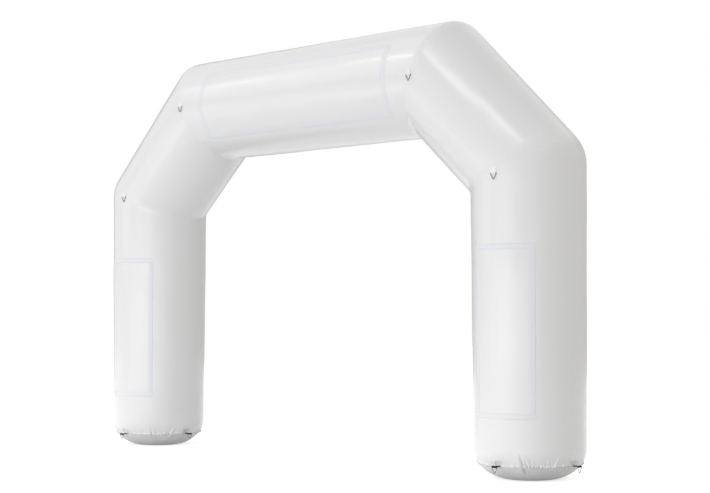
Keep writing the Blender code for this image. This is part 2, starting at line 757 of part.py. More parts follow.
def build_cap(low, axis_empty):
    """Screw-down cap with a grip bar across its top."""
    inner = VALVE_NECK_RADIUS + VALVE_FIT
    outer = inner + VALVE_CAP_WALL
    under = VALVE_NECK_HEIGHT + GAP
    top = under + VALVE_CAP_TOP
    chamfer = VALVE_CAP_WALL / 3
    profile = [(0, top), (outer - chamfer, top), (outer, top - chamfer), (outer, low),
               (inner, low), (inner, under), (0, under)]
    cap = turned("inflation_valve_cap", profile, VALVE_SIDES, False)
    cap.parent = axis_empty
    half_length = outer - 2 * chamfer
    half_width = VALVE_GRIP_WIDTH / 2
    corners = [(-half_length, -half_width), (half_length, -half_width),
               (half_length, half_width), (-half_length, half_width)]
    grip = prism("cap_grip", corners, top - VALVE_CAP_TOP / 2, top + VALVE_GRIP_HEIGHT)
    grip.parent = axis_empty
    boolean(cap, grip, "UNION")
    return finish(cap, "valve_black")


def build_relief_valve(wall, skin):
    axis_empty = valve_axis("relief_valve_axis", wall)
    top = flange_top(RELIEF_FLANGE_RADIUS)
    low = top - VALVE_FLANGE
    valve_hole(skin, "relief_valve_hole", RELIEF_NECK_RADIUS + VALVE_FIT, axis_empty)

    profile = [(RELIEF_NECK_RADIUS, RELIEF_NECK_HEIGHT), (RELIEF_NECK_RADIUS, top),
               (RELIEF_FLANGE_RADIUS, top), (RELIEF_FLANGE_RADIUS, low),
               (RELIEF_BORE_RADIUS, low), (RELIEF_BORE_RADIUS, RELIEF_NECK_HEIGHT)]
    body = turned("relief_valve_body", profile, VALVE_SIDES, True)
    body.parent = axis_empty
    hub_low = low + GAP
    add_spider(body, hub_low, RELIEF_BORE_RADIUS, axis_empty)
    finish(body, "valve_plastic")

    disc = RELIEF_BORE_RADIUS + RELIEF_DISC_LAP
    seat = RELIEF_NECK_HEIGHT + GAP
    retainer = hub_low - RELIEF_SPRING_LENGTH
    stem = [(0, seat + RELIEF_DISC), (disc, seat + RELIEF_DISC), (disc, seat),
            (STEM_RADIUS, seat), (STEM_RADIUS, retainer), (RELIEF_RETAINER_RADIUS, retainer),
            (RELIEF_RETAINER_RADIUS, retainer - RELIEF_RETAINER), (0, retainer - RELIEF_RETAINER)]
    poppet = turned("relief_valve_poppet", stem, STEM_SIDES, False)
    poppet.parent = axis_empty
    finish(poppet, "valve_black")

    build_spring("relief_valve_spring", retainer, hub_low, axis_empty)
    build_cover(disc, seat + RELIEF_DISC + RELIEF_LIFT, axis_empty)
    return axis_empty


def build_cover(disc, disc_reach, axis_empty):
    """Vented cover that screws on the relief valve's neck and clamps the skin."""
    thread = RELIEF_NECK_RADIUS + VALVE_FIT
    room = max(disc + COVER_AIR_SPACE, thread)
    outer = room + COVER_WALL
    under = disc_reach + COVER_AIR_SPACE
    top = under + COVER_WALL
    chamfer = COVER_WALL / 2
    step = GAP + COVER_THREAD_HEIGHT
    profile = [(0, top), (outer - chamfer, top), (outer, top - chamfer), (outer, GAP),
               (thread, GAP), (thread, step), (room, step), (room, under), (0, under)]
    cover = turned("relief_valve_cover", profile, VALVE_SIDES, False)
    cover.parent = axis_empty
    vents = bmesh.new()
    for i in range(VENT_COUNT):
        hole = bmesh.ops.create_cone(vents, cap_ends=True, segments=8, radius1=VENT_RADIUS,
                                     radius2=VENT_RADIUS, depth=COVER_WALL + OVERRUN)["verts"]
        bmesh.ops.translate(vents, vec=(disc / 2, 0, under + COVER_WALL / 2), verts=hole)
        turn = Matrix.Rotation(2 * math.pi * i / VENT_COUNT, 4, "Z")
        bmesh.ops.transform(vents, matrix=turn, verts=hole)
    data = bpy.data.meshes.new("cover_vents")
    vents.to_mesh(data)
    vents.free()
    tool = bpy.data.objects.new("cover_vents", data)
    CUTTERS.objects.link(tool)
    tool.parent = axis_empty
    boolean(cover, hide_tool(tool), "DIFFERENCE")
    return finish(cover, "valve_plastic")


def build_arch():
    beam, beam_wall = build_beam()
    legs = {}
    skins = {}
    for side, sign in (("left", -1), ("right", 1)):
        tube, wall, skins[side] = build_leg(side, sign)
        legs[side] = (tube, wall)
        shoulder = build_shoulder(side, sign)
        build_foot_cap(side, sign)
        build_foot_fin(side, sign)
        build_seam_tape(side + "_leg_seam_tape", tube, shoulder)
        build_seam_tape(side + "_beam_seam_tape", shoulder, beam, upper_end=sign > 0)
    build_frames(legs, beam_wall)
    build_corner_rings()
    build_foot_rings()
    build_inflation_valve(legs["right"][1], skins["right"])
    build_relief_valve(legs["left"][1], skins["left"])


build_arch()
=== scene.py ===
"""Looks of an inflatable advertising arch: air-tight white fabric tubes, gathered feet,
loop-tape frames for a banner, triangle rings on webbing tabs, and two valves."""

import math
import random

import bmesh
import bpy
import numpy as np
from bpy.props import FloatProperty, FloatVectorProperty, IntProperty, PointerProperty
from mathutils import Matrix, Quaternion, Vector
from mathutils.bvhtree import BVHTree


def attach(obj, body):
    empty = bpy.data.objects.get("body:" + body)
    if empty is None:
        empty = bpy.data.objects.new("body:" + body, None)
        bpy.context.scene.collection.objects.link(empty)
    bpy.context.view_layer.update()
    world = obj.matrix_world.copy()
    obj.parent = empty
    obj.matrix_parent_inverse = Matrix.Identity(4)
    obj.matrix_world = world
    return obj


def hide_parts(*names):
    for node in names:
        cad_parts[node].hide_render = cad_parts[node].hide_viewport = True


bl_info = {
    "name": "Inflatable Arch",
    "version": (1, 0, 0),
    "blender": (4, 5, 0),
    "location": "3D View > Sidebar > Inflatable Arch",
    "description": "Builds the fabric, tapes, rings and finishes of an inflatable arch",
    "category": "Add Mesh",
}

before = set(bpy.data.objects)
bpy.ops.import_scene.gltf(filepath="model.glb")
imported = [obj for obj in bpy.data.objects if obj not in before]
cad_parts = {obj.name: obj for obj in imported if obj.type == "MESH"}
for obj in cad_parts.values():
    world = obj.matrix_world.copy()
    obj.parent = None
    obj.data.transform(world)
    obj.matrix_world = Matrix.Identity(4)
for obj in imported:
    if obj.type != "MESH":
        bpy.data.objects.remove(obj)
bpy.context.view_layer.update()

# ---------------------------------------------------------------- the arch's own lengths
LEG_HEIGHT = 2.608
SHOULDER_RUN = 0.912
SHOULDER_RISE = 0.884
BEAM_HALF_LENGTH = 1.517
LEG_X = BEAM_HALF_LENGTH + SHOULDER_RUN
BEAM_HEIGHT = LEG_HEIGHT + SHOULDER_RISE
SHOULDER_LEAN = math.atan2(SHOULDER_RUN, SHOULDER_RISE)
LEG_MITRE = SHOULDER_LEAN / 2
BEAM_MITRE = (math.pi / 2 - SHOULDER_LEAN) / 2
LEG_FOOT_RADIUS = 0.478
LEG_TOP_RADIUS = 0.4935
BEAM_RADIUS = 0.508
SKIN = 0.0010
GAP = 0.0003
LEG_MITRE_ROUND = 0.137
BEAM_MITRE_ROUND = 0.060
LEAST_MITRE_ROUND = 0.030
MITRE_ROUND_POWER = 1.3
SEAM_TAPE_WIDTH = 0.040
SEAM_TAPE = 0.0008
SEAM_TAPE_DEPTH = 0.0024
MITRE_RUN_SHARE = 1.5
FOOT_SEAM_HEIGHT = 0.130
FOOT_SEAM_INSET = 0.038
FOOT_SEAM_RADIUS = LEG_FOOT_RADIUS - FOOT_SEAM_INSET
FOOT_CURVE_HEIGHT = 0.130
FOOT_WALL_TOP = FOOT_SEAM_HEIGHT + FOOT_CURVE_HEIGHT
CONTACT_RADIUS = 0.215
DISH_SHOULDER_SHARES = (0.578, 0.154)
FOOT_SEAM_GAP = 0.0008
FIN_WIDTH = 0.012
FIN_THICKNESS = 0.0020
FIN_INNER = FOOT_SEAM_RADIUS + FIN_THICKNESS / 2 + GAP
FIN_OUTER = FIN_INNER + FIN_WIDTH
LOOP_TAPE_WIDTH = 0.050
LOOP_TAPE = 0.0015
LEG_FRAME_BOTTOM = 0.520
LEG_FRAME_HEIGHT = 1.450
LEG_FRAME_ANGLES = (-29.5, 42.0)
BEAM_FRAME_HALF_LENGTH = 1.235
BEAM_FRAME_ANGLES = (-43.5, 37.5)
WEBBING_WIDTH = 0.046
WEBBING_PLY = 0.0016
TAB_LAP = 0.048
STRAP_FREE_LENGTH = 0.046
FOOT_RING_RADIUS = FIN_OUTER + STRAP_FREE_LENGTH
EYE_CLEARANCE = 0.0005
RING_WIRE = 0.0055
RING_BEND = 0.0050
RING_HEIGHT = 0.052
RING_SIDE_CLEARANCE = 0.0010
# How far the bar of each corner ring lies below its mitre
RING_DROPS = {"left_leg": -0.012, "left_beam": 0.005, "right_leg": 0.051, "right_beam": 0.013}
EYE_INNER = RING_WIRE / 2 + EYE_CLEARANCE
EYE_OUTER = EYE_INNER + WEBBING_PLY
FOOT_EYE_THICKNESS = 0.0048    # the foot's webbing goes round the bar three times
VALVE_HEIGHT = 0.390
VALVE_FIT = 0.0005
VALVE_NECK_RADIUS = 0.0280
RELIEF_NECK_RADIUS = 0.0205
VALVE_WINDOW = 0.062           # half of the leg's window that is meshed in rings round a valve

# ---------------------------------------------------------------- fineness of the meshes
COLUMNS = 192                  # points round a tube
FOOT_COLUMNS = 960             # points round a gathered foot
ROW_SPACING = 0.036            # between the rows on a tube's straight run
ABOVE_FOOT = 0.03              # from the top of a foot's curve to the first row of its leg
CONTACT_RINGS = (0.19, 0.13, 0.06)    # radii of the rows on the floor, inside a dish
TAPE_STEP = 0.018              # between the rows along a loop tape
TAPE_ARC_STEP = 0.015          # the same, round a tube
TAPE_JOINT = 0.0008            # between two bands that meet at a frame's corner
FRONT = np.array([0.0, -1.0, 0.0])
UP = np.array([0.0, 0.0, 1.0])
SIDES = (("left", -1), ("right", 1))
ENVELOPE = "envelope"

# ---------------------------------------------------------------- the studio
# Each lamp has a name, an azimuth from the front towards the right and an elevation, both in
# degrees and seen from its target, then a distance, a size, a radiance and its target.
WALL_REACH = 11.0
HIGH_TARGET = (0.0, 0.0, 1.8)
SOFT_BOX_SIDES = (("left", -50), ("front_left", -30), ("front", -10), ("front_right", 10),
                  ("camera", 30), ("right", 50))
# A row of soft boxes has an elevation, a size, a target and its radiances from the left on.
SOFT_BOX_ROWS = (
    ("low", 0, (3.9, 2.0), (0.0, 0.0, 1.0), (0.41, 1.51, 2.43, 2.59, 1.71, 1.17)),
    ("middle", 0, (3.9, 2.2), (0.0, 0.0, 3.1), (0.79, 0.42, 0.86, 0.95)),
    ("high", 33, (3.48, 4.28), HIGH_TARGET, (0.74, 0.79)),
)
SOFT_BOXES = [
    (f"{row}_{side}_box", azimuth, elevation, WALL_REACH, size, radiance, target)
    for row, elevation, size, target, radiances in SOFT_BOX_ROWS
    for (side, azimuth), radiance in zip(SOFT_BOX_SIDES, radiances)
] + [("top_left_box", -60, 62, 9.0, (5.0, 4.0), 0.43, HIGH_TARGET)]
# Lamps that light the lower part but are not mirrored in it. The last four lie on the floor.
FILL_BOXES = (
    ("front_fill", 10, 1, 8.5, (4.0, 1.3), 1.30, (0.0, 0.0, 0.7)),
    ("left_foot_fill", 0, -90, 1.0, (1.5, 1.4), 1.30, (-3.65, -1.1, 1.01)),
    ("right_foot_fill", 0, -90, 1.0, (1.5, 1.4), 0.68, (1.35, -1.1, 1.01)),
    ("left_dish_fill", 0, -90, 1.0, (1.0, 0.6), 0.45, (-2.30, -0.95, 1.01)),
    ("right_dish_fill", 0, -90, 1.0, (1.0, 0.6), 0.45, (2.60, -0.95, 1.01)),
)
# Narrow lamps that are only mirrored. The last number is the turn about the lamp's own beam.
STREAK_BOXES = (
    ("beam_left_streak", -57, 30, 10.0, (1.6, 0.9), 2.2, (-0.65, -0.49, 3.64), 0),
    ("beam_right_streak", -52, 36, 10.0, (1.6, 0.7), 6.0, (1.46, -0.48, 3.65), 0),
    ("shoulder_streak", 1.5, 51, 10.0, (4.7, 0.56), 8.2, (2.30, -0.43, 3.06), 31),
)
BOARD_DISTANCE = 13.0
BOARD_FOOT, BOARD_HEIGHT = 0.25, 9.9
BOARD_COLOUR = (1.0, 0.985, 0.955, 1.0)
BOARDS = (("board_right", 60, 150, 0.760), ("board_back", 150, 226, 0.600),
          ("board_left", 226, 262, 0.425))
CAMERA_PLACE = (9.6986, -10.1475, 1.3923)
CAMERA_CLIMB, CAMERA_TURN = 0.0459, 0.7407
CAMERA_LENS, CAMERA_REACH = 73.76, 200.0
WHITE, BLACK = (1.0, 1.0, 1.0, 1.0), (0.0, 0.0, 0.0, 1.0)


class ArchFabricSettings(bpy.types.PropertyGroup):
    """Sizes and colours of the coated fabric."""

    skin_colour: FloatVectorProperty(
        name="Fabric", description="Colour of the white coated fabric", subtype="COLOR",
        default=(0.872, 0.874, 0.878), min=0.0, max=1.0)
    floor_colour: FloatVectorProperty(
        name="Foot fabric", description="Colour of the heavier fabric under the feet",
        subtype="COLOR", default=(0.890, 0.892, 0.892), min=0.0, max=1.0)
    grime_colour: FloatVectorProperty(
        name="Grime", description="Colour of the dust that gathers in folds by the floor",
        subtype="COLOR", default=(0.50, 0.48, 0.44), min=0.0, max=1.0)
    wave_depth: FloatProperty(
        name="Waves", description="Depth of the long waves in the taut fabric",
        default=0.0007, unit="LENGTH")
    pucker_depth: FloatProperty(
        name="Mitre puckers", description="Depth of the puckers beside each mitre seam",
        default=0.0011, unit="LENGTH")
    groove_depth: FloatProperty(
        name="Mitre groove", description="How far a welded mitre seam is drawn in",
        default=0.0005, unit="LENGTH")
    pleat_count: IntProperty(
        name="Pleats", description="Pleats gathered round one foot", default=64, min=0)
    pleat_depth: FloatProperty(
        name="Pleat depth", description="Depth of an ordinary pleat",
        default=0.0085, unit="LENGTH")
    puff_depth: FloatProperty(
        name="Puff depth", description="Swelling of the fabric between pleats, beside the weld",
        default=0.0070, unit="LENGTH")
    seed: IntProperty(name="Seed", description="Seed of the folds", default=11)


class ArchTrimSettings(bpy.types.PropertyGroup):
    """Sizes and colours of tapes, webbing and fittings."""

    loop_tape_colour: FloatVectorProperty(
        name="Loop tape", description="Colour of the white loop tape", subtype="COLOR",
        default=(0.895, 0.905, 0.955), min=0.0, max=1.0)
    white_webbing_colour: FloatVectorProperty(
        name="White webbing", description="Colour of the corner tabs", subtype="COLOR",
        default=(0.970, 0.970, 0.975), min=0.0, max=1.0)
    black_webbing_colour: FloatVectorProperty(
        name="Black webbing", description="Colour of the foot tabs", subtype="COLOR",
        default=(0.0040, 0.0040, 0.0045), min=0.0, max=1.0)
    ring_colour: FloatVectorProperty(
        name="Ring metal", description="Colour of the plated rings", subtype="COLOR",
        default=(0.25, 0.20, 0.115), min=0.0, max=1.0)
    grey_plastic_colour: FloatVectorProperty(
        name="Valve grey", description="Colour of the valve bodies", subtype="COLOR",
        default=(0.30, 0.31, 0.32), min=0.0, max=1.0)
    black_plastic_colour: FloatVectorProperty(
        name="Valve black", description="Colour of the valve's moving parts",
        subtype="COLOR", default=(0.022, 0.022, 0.024), min=0.0, max=1.0)
    spring_colour: FloatVectorProperty(
        name="Spring steel", description="Colour of the valve springs", subtype="COLOR",
        default=(0.56, 0.57, 0.58), min=0.0, max=1.0)
    patch_radius: FloatProperty(
        name="Ring patch", description="Radius of the welded patch under a corner ring",
        default=0.058, unit="LENGTH")
    patch_thickness: FloatProperty(
        name="Patch thickness", description="How far the ring patch stands off the skin",
        default=0.00045, unit="LENGTH")


class ArchStageSettings(bpy.types.PropertyGroup):
    """The floor and the studio light."""

    floor_colour: FloatVectorProperty(
        name="Floor", description="Colour of the studio floor", subtype="COLOR",
        default=(0.60, 0.60, 0.60), min=0.0, max=1.0)
    floor_glow: FloatProperty(
        name="Floor glow", description="Light added to the floor where it is looked at",
        default=0.85, min=0.0)
    shade_reach: FloatProperty(
        name="Shade reach", description="How far from the feet the floor's glow is shaded",
        default=0.13, unit="LENGTH")
    shade_depth: FloatProperty(
        name="Shade depth", description="Share of the floor's glow that the feet take away",
        default=0.45, min=0.0, max=1.0)
    camera_shade_depth: FloatProperty(
        name="Camera shade depth", description="The same share, where the camera sees the floor",
        default=0.2, min=0.0, max=1.0)
    ambient: FloatProperty(
        name="Ambient", description="Strength of the even light from all round",
        default=0.59, min=0.0)
    floor_size: FloatProperty(
        name="Floor size", description="Side of the floor", default=80.0, unit="LENGTH")


# ---------------------------------------------------------------- shader building
class Graph:
    """Short-hand for a node tree."""

    def __init__(self, tree):
        self.tree = tree

    def add(self, kind, **settings):
        node = self.tree.nodes.new(kind)
        for name, value in settings.items():
            setattr(node, name, value)
        return node

    def feed(self, value, socket):
        if isinstance(value, bpy.types.NodeSocket):
            self.tree.links.new(value, socket)
        else:
            socket.default_value = value

    def math(self, operation, *values):
        node = self.add("ShaderNodeMath", operation=operation)
        for value, socket in zip(values, node.inputs):
            self.feed(value, socket)
        return node.outputs[0]

    def plus(self, first, second):
        return self.math("ADD", first, second)

    def minus(self, first, second):
        return self.math("SUBTRACT", first, second)

    def times(self, first, second):
        return self.math("MULTIPLY", first, second)

    def over(self, first, second):
        return self.math("DIVIDE", first, second)

    def size(self, value):
        return self.math("ABSOLUTE", value)

    def scaled(self, vector, factor):
        node = self.add("ShaderNodeVectorMath", operation="SCALE")
        self.feed(vector, node.inputs[0])
        self.feed(factor, node.inputs["Scale"])
        return node.outputs[0]

    def noise(self, vector, scale, detail=2.0, roughness=0.5):
        node = self.add("ShaderNodeTexNoise")
        self.feed(vector, node.inputs["Vector"])
        self.feed(scale, node.inputs["Scale"])
        node.inputs["Detail"].default_value = detail
        node.inputs["Roughness"].default_value = roughness
        return node.outputs["Fac"]

    def ramp(self, value, low, high, start=0.0, end=1.0):
        node = self.add("ShaderNodeMapRange", interpolation_type="SMOOTHSTEP")
        for given, name in ((value, "Value"), (low, "From Min"), (high, "From Max"),
                            (start, "To Min"), (end, "To Max")):
            self.feed(given, node.inputs[name])
        return node.outputs["Result"]

    def mix(self, factor, first, second):
        node = self.add("ShaderNodeMix", data_type="RGBA")
        self.feed(factor, node.inputs["Factor"])
        self.feed(first, node.inputs[6])
        self.feed(second, node.inputs[7])
        return node.outputs[2]

    def parts(self, vector):
        node = self.add("ShaderNodeSeparateXYZ")
        self.feed(vector, node.inputs[0])
        return node.outputs


def colour(values):
    return (*values, 1.0)


def effect(name, outputs, colours=(), **values):
    """Start a shader node group that takes a vector, some colours and some values."""
    tree = bpy.data.node_groups.new(name, "ShaderNodeTree")
    inputs = [("Vector", "Vector")] + [(label, "Color") for label in colours]
    inputs += [(label, "Float") for label in values]
    for label, kind in inputs:
        socket = tree.interface.new_socket(label.replace("_", " "), in_out="INPUT",
                                           socket_type="NodeSocket" + kind)
        if label in values:
            socket.default_value = values[label]
    for label in outputs:
        kind = "Color" if label == "Color" else "Float"
        tree.interface.new_socket(label, in_out="OUTPUT", socket_type="NodeSocket" + kind)
    graph = Graph(tree)
    return graph, graph.add("NodeGroupInput").outputs, graph.add("NodeGroupOutput").inputs


def weave_effect():
    """Plain weave seen as a height: warp and weft that pass over each other."""
    graph, given, out = effect("Plain Weave", ("Height",), Pitch=0.001, Depth=0.00002)
    turn = graph.over(2 * math.pi, given["Pitch"])
    x, y, _ = graph.parts(graph.scaled(given["Vector"], turn))
    half_x, half_y = graph.times(x, 0.5), graph.times(y, 0.5)
    cross = graph.times(graph.math("SINE", half_x), graph.math("SINE", half_y))
    ribs = graph.times(graph.math("COSINE", x), graph.math("COSINE", y))
    mixed = graph.plus(cross, graph.times(ribs, 0.5))
    graph.feed(graph.times(mixed, given["Depth"]), out["Height"])


def crinkle_effect():
    """Soft creases left by folding and packing."""
    graph, given, out = effect("Soft Crinkle", ("Height",), Size=0.06, Depth=0.0003)
    scale = graph.over(1.0, given["Size"])
    broad = graph.noise(given["Vector"], scale, 2.0, 0.45)
    fine = graph.noise(given["Vector"], graph.times(scale, 3.1), 3.0, 0.5)
    crease = graph.size(graph.minus(fine, 0.5))
    both = graph.plus(broad, graph.times(crease, 0.35))
    graph.feed(graph.times(both, given["Depth"]), out["Height"])


def handling_effect():
    """Faint unevenness of a used surface, with dust towards the floor."""
    graph, given, out = effect("Handling", ("Color",), ("Base", "Dust"), Amount=0.1,
                               Floor_Reach=0.2)
    height = graph.parts(given["Vector"])[2]
    low = graph.ramp(height, 0.0, given["Floor Reach"], 1.0, 0.0)
    cloud = graph.noise(given["Vector"], 7.0, 5.0, 0.6)
    speck = graph.ramp(graph.noise(given["Vector"], 60.0, 4.0, 0.65), 0.52, 0.75)
    settled = graph.times(low, graph.ramp(cloud, 0.35, 0.7, 0.3, 1.0))
    faint = graph.times(speck, 0.12)
    mask = graph.times(graph.plus(settled, faint), given["Amount"])
    graph.feed(graph.mix(mask, given["Base"], given["Dust"]), out["Color"])


def stitch_effect():
    """Two rows of stitches along a strip: a mask of the thread and its height."""
    graph, given, out = effect("Stitch Rows", ("Mask", "Height"), Width=0.05, Inset=0.004,
                               Pitch=0.005, Depth=0.0003)
    along, across, _ = graph.parts(given["Vector"])
    middle = graph.minus(across, graph.times(given["Width"], 0.5))
    edge = graph.minus(graph.times(given["Width"], 0.5),
                      graph.size(middle))
    row = graph.size(graph.minus(edge, given["Inset"]))
    side = graph.ramp(row, 0.0003, 0.0008, 1.0, 0.0)
    place = graph.math("FRACT", graph.over(along, given["Pitch"]))
    off_middle = graph.size(graph.minus(place, 0.5))
    run = graph.ramp(off_middle, 0.34, 0.42, 1.0, 0.0)
    mask = graph.times(side, run)
    sunk = graph.ramp(row, 0.0006, 0.0018, 1.0, 0.0)
    height = graph.minus(graph.times(mask, 1.2), sunk)
    graph.feed(mask, out["Mask"])
    graph.feed(graph.times(height, given["Depth"]), out["Height"])


def pile_effect():
    """Brushed loops or rough fibre, as a height and a painted shade that is darker where the pile
    is low.
    """
    graph, given, out = effect("Fibre Pile", ("Height", "Shade"), Size=0.0012, Depth=0.0002)
    scale = graph.over(1.0, given["Size"])
    loops = graph.noise(given["Vector"], scale, 3.0, 0.7)
    tufts = graph.noise(given["Vector"], graph.times(scale, 0.14), 2.0, 0.5)
    height = graph.plus(loops, graph.times(tufts, 0.8))
    graph.feed(graph.times(height, given["Depth"]), out["Height"])
    graph.feed(graph.plus(graph.times(loops, 0.5),
                          graph.times(tufts, 0.5)), out["Shade"])


def grain_effect():
    """Spark-eroded grain of moulded plastic, or fine scratches of metal."""
    graph, given, out = effect("Fine Grain", ("Height", "Roughness"), Size=0.0008, Depth=0.00003,
                               Gloss=0.3, Spread=0.15)
    scale = graph.over(1.0, given["Size"])
    grain = graph.noise(given["Vector"], scale, 2.0, 0.6)
    rub = graph.noise(given["Vector"], graph.times(scale, 0.03), 4.0, 0.6)
    graph.feed(graph.times(grain, given["Depth"]), out["Height"])
    shift = graph.times(graph.minus(rub, 0.5), given["Spread"])
    graph.feed(graph.plus(given["Gloss"], shift), out["Roughness"])


EFFECTS = (weave_effect, crinkle_effect, handling_effect, stitch_effect, pile_effect, grain_effect)


class Finish:
    """One procedural material on the Principled shader."""

    def __init__(self, name, **plain):
        self.material = bpy.data.materials.new(name)
        self.material.use_nodes = True
        self.graph = Graph(self.material.node_tree)
        self.shader = self.material.node_tree.nodes["Principled BSDF"]
        self.height = None
        for label, value in plain.items():
            self.shader.inputs[label.replace("_", " ")].default_value = value
        coordinates = self.graph.add("ShaderNodeTexCoord")
        self.place = coordinates.outputs["Object"]

    def strip(self):
        """Metres along and across a strip, from the piece's own map."""
        return self.graph.add("ShaderNodeUVMap", uv_map="Strip").outputs["UV"]

    def effect(self, name, vector, **values):
        node = self.graph.add("ShaderNodeGroup")
        node.node_tree = bpy.data.node_groups[name]
        self.graph.feed(vector, node.inputs["Vector"])
        for label, value in values.items():
            self.graph.feed(value, node.inputs[label.replace("_", " ")])
        return node.outputs

    def feed(self, value, label):
        self.graph.feed(value, self.shader.inputs[label])

    def handled(self, base, dust, amount, reach):
        """Colour the surface, with dust on it up to a height above the floor."""
        used = self.effect("Handling", self.place, Base=colour(base), Dust=colour(dust),
                           Amount=amount, Floor_Reach=reach)
        self.feed(used["Color"], "Base Color")

    def raise_by(self, height):
        if self.height is not None:
            height = self.graph.plus(self.height, height)
        self.height = height

    def done(self):
        if self.height is not None:
            bump = self.graph.add("ShaderNodeBump")
            bump.inputs["Distance"].default_value = 1.0
            self.graph.feed(self.height, bump.inputs["Height"])
            self.feed(bump.outputs[0], "Normal")
        return self.material


DUST_REACH = 0.16


def coated_fabric(name, base, grime, dust, crinkle, coat):
    """Plastic-coated fabric, with the scrim showing faintly through the coating."""
    finish = Finish(name, Roughness=0.45, IOR=1.5, Coat_Weight=coat, Coat_Roughness=0.20,
                    Coat_IOR=1.5)
    strip = finish.strip()
    finish.handled(base, grime, dust, DUST_REACH)
    rough = finish.graph.ramp(finish.graph.noise(finish.place, 5.0, 4.0), 0.3, 0.7, 0.42, 0.48)
    finish.feed(rough, "Roughness")
    finish.raise_by(finish.effect("Plain Weave", strip, Pitch=0.0016, Depth=0.000012)["Height"])
    creases = finish.effect("Soft Crinkle", finish.place, Size=0.09, Depth=crinkle)
    finish.raise_by(creases["Height"])
    return finish.done()


def woven_webbing(name, base, grime, dust, coat, gloss, relief):
    """Flat woven strap. A coat stands for the gloss of white yarn."""
    finish = Finish(name, Roughness=0.7, Specular_IOR_Level=gloss, Coat_Weight=coat,
                    Coat_Roughness=0.2)
    strip = finish.strip()
    finish.handled(base, grime, dust, DUST_REACH)
    finish.raise_by(finish.effect("Plain Weave", strip, Pitch=0.0021, Depth=relief)["Height"])
    fibre = finish.effect("Fibre Pile", finish.place, Size=0.0007, Depth=0.3 * relief)
    finish.raise_by(fibre["Height"])
    return finish.done()


def loop_tape(name, base):
    """Brushed loop tape with its two rows of stitches."""
    finish = Finish(name, Roughness=0.55, Sheen_Weight=0.35, Sheen_Roughness=0.5,
                    Coat_Weight=0.6, Coat_Roughness=0.35)
    strip = finish.strip()
    pile = finish.effect("Fibre Pile", finish.place, Size=0.0012, Depth=0.00028)
    rows = finish.effect("Stitch Rows", strip, Width=LOOP_TAPE_WIDTH, Inset=0.0045,
                         Pitch=0.0048, Depth=0.0005)
    # Painted shade: the tape's colour is darker where its pile is low, between the loops.
    dark = tuple(0.95 * c for c in base)
    shade = finish.graph.ramp(pile["Shade"], 0.35, 0.65)
    pile_shaded_colour = finish.graph.mix(shade, colour(dark), colour(base))
    finish.feed(finish.graph.mix(rows["Mask"], pile_shaded_colour, (0.86, 0.87, 0.88, 1.0)), "Base Color")
    finish.raise_by(pile["Height"])
    finish.raise_by(rows["Height"])
    return finish.done()


def moulded_plastic(name, base, gloss):
    finish = Finish(name, Roughness=gloss, IOR=1.48)
    grain = finish.effect("Fine Grain", finish.place, Size=0.0006, Depth=0.00004, Gloss=gloss,
                          Spread=0.2)
    finish.handled(base, (0.4, 0.39, 0.37), 0.25, 0.10)
    finish.feed(grain["Roughness"], "Roughness")
    finish.raise_by(grain["Height"])
    return finish.done()


def plated_metal(name, base, gloss):
    finish = Finish(name, Metallic=1.0, Roughness=gloss)
    grain = finish.effect("Fine Grain", finish.place, Size=0.0009, Depth=0.00002, Gloss=gloss,
                          Spread=0.35)
    tarnish = tuple(0.72 * c for c in base)
    cloud = finish.graph.ramp(finish.graph.noise(finish.place, 90.0, 4.0), 0.4, 0.65)
    finish.feed(finish.graph.mix(cloud, colour(base), colour(tarnish)), "Base Color")
    finish.feed(grain["Roughness"], "Roughness")
    finish.raise_by(grain["Height"])
    return finish.done()


def build_finishes(scene):
    fabric, trim = scene.arch_fabric, scene.arch_trim
    for build in EFFECTS:
        build()
    grime = tuple(fabric.grime_colour)
    coated_fabric("coated_fabric_white", fabric.skin_colour, grime, 0.10, 0.00035, 1.0)
    coated_fabric("coated_fabric_foot", fabric.floor_colour, grime, 0.12, 0.0006, 0.3)
    loop_tape("loop_tape_white", trim.loop_tape_colour)
    woven_webbing("woven_webbing_white", trim.white_webbing_colour, grime, 0.02, 1.0, 0.5, 0.00003)
    woven_webbing("woven_webbing_black", trim.black_webbing_colour, grime, 0.0, 0.0, 0.05, 0.00016)
    plated_metal("ring_plating", trim.ring_colour, 0.28)
    plated_metal("spring_wire", trim.spring_colour, 0.32)
    moulded_plastic("valve_plastic_grey", trim.grey_plastic_colour, 0.42)
    moulded_plastic("valve_plastic_black", trim.black_plastic_colour, 0.38)


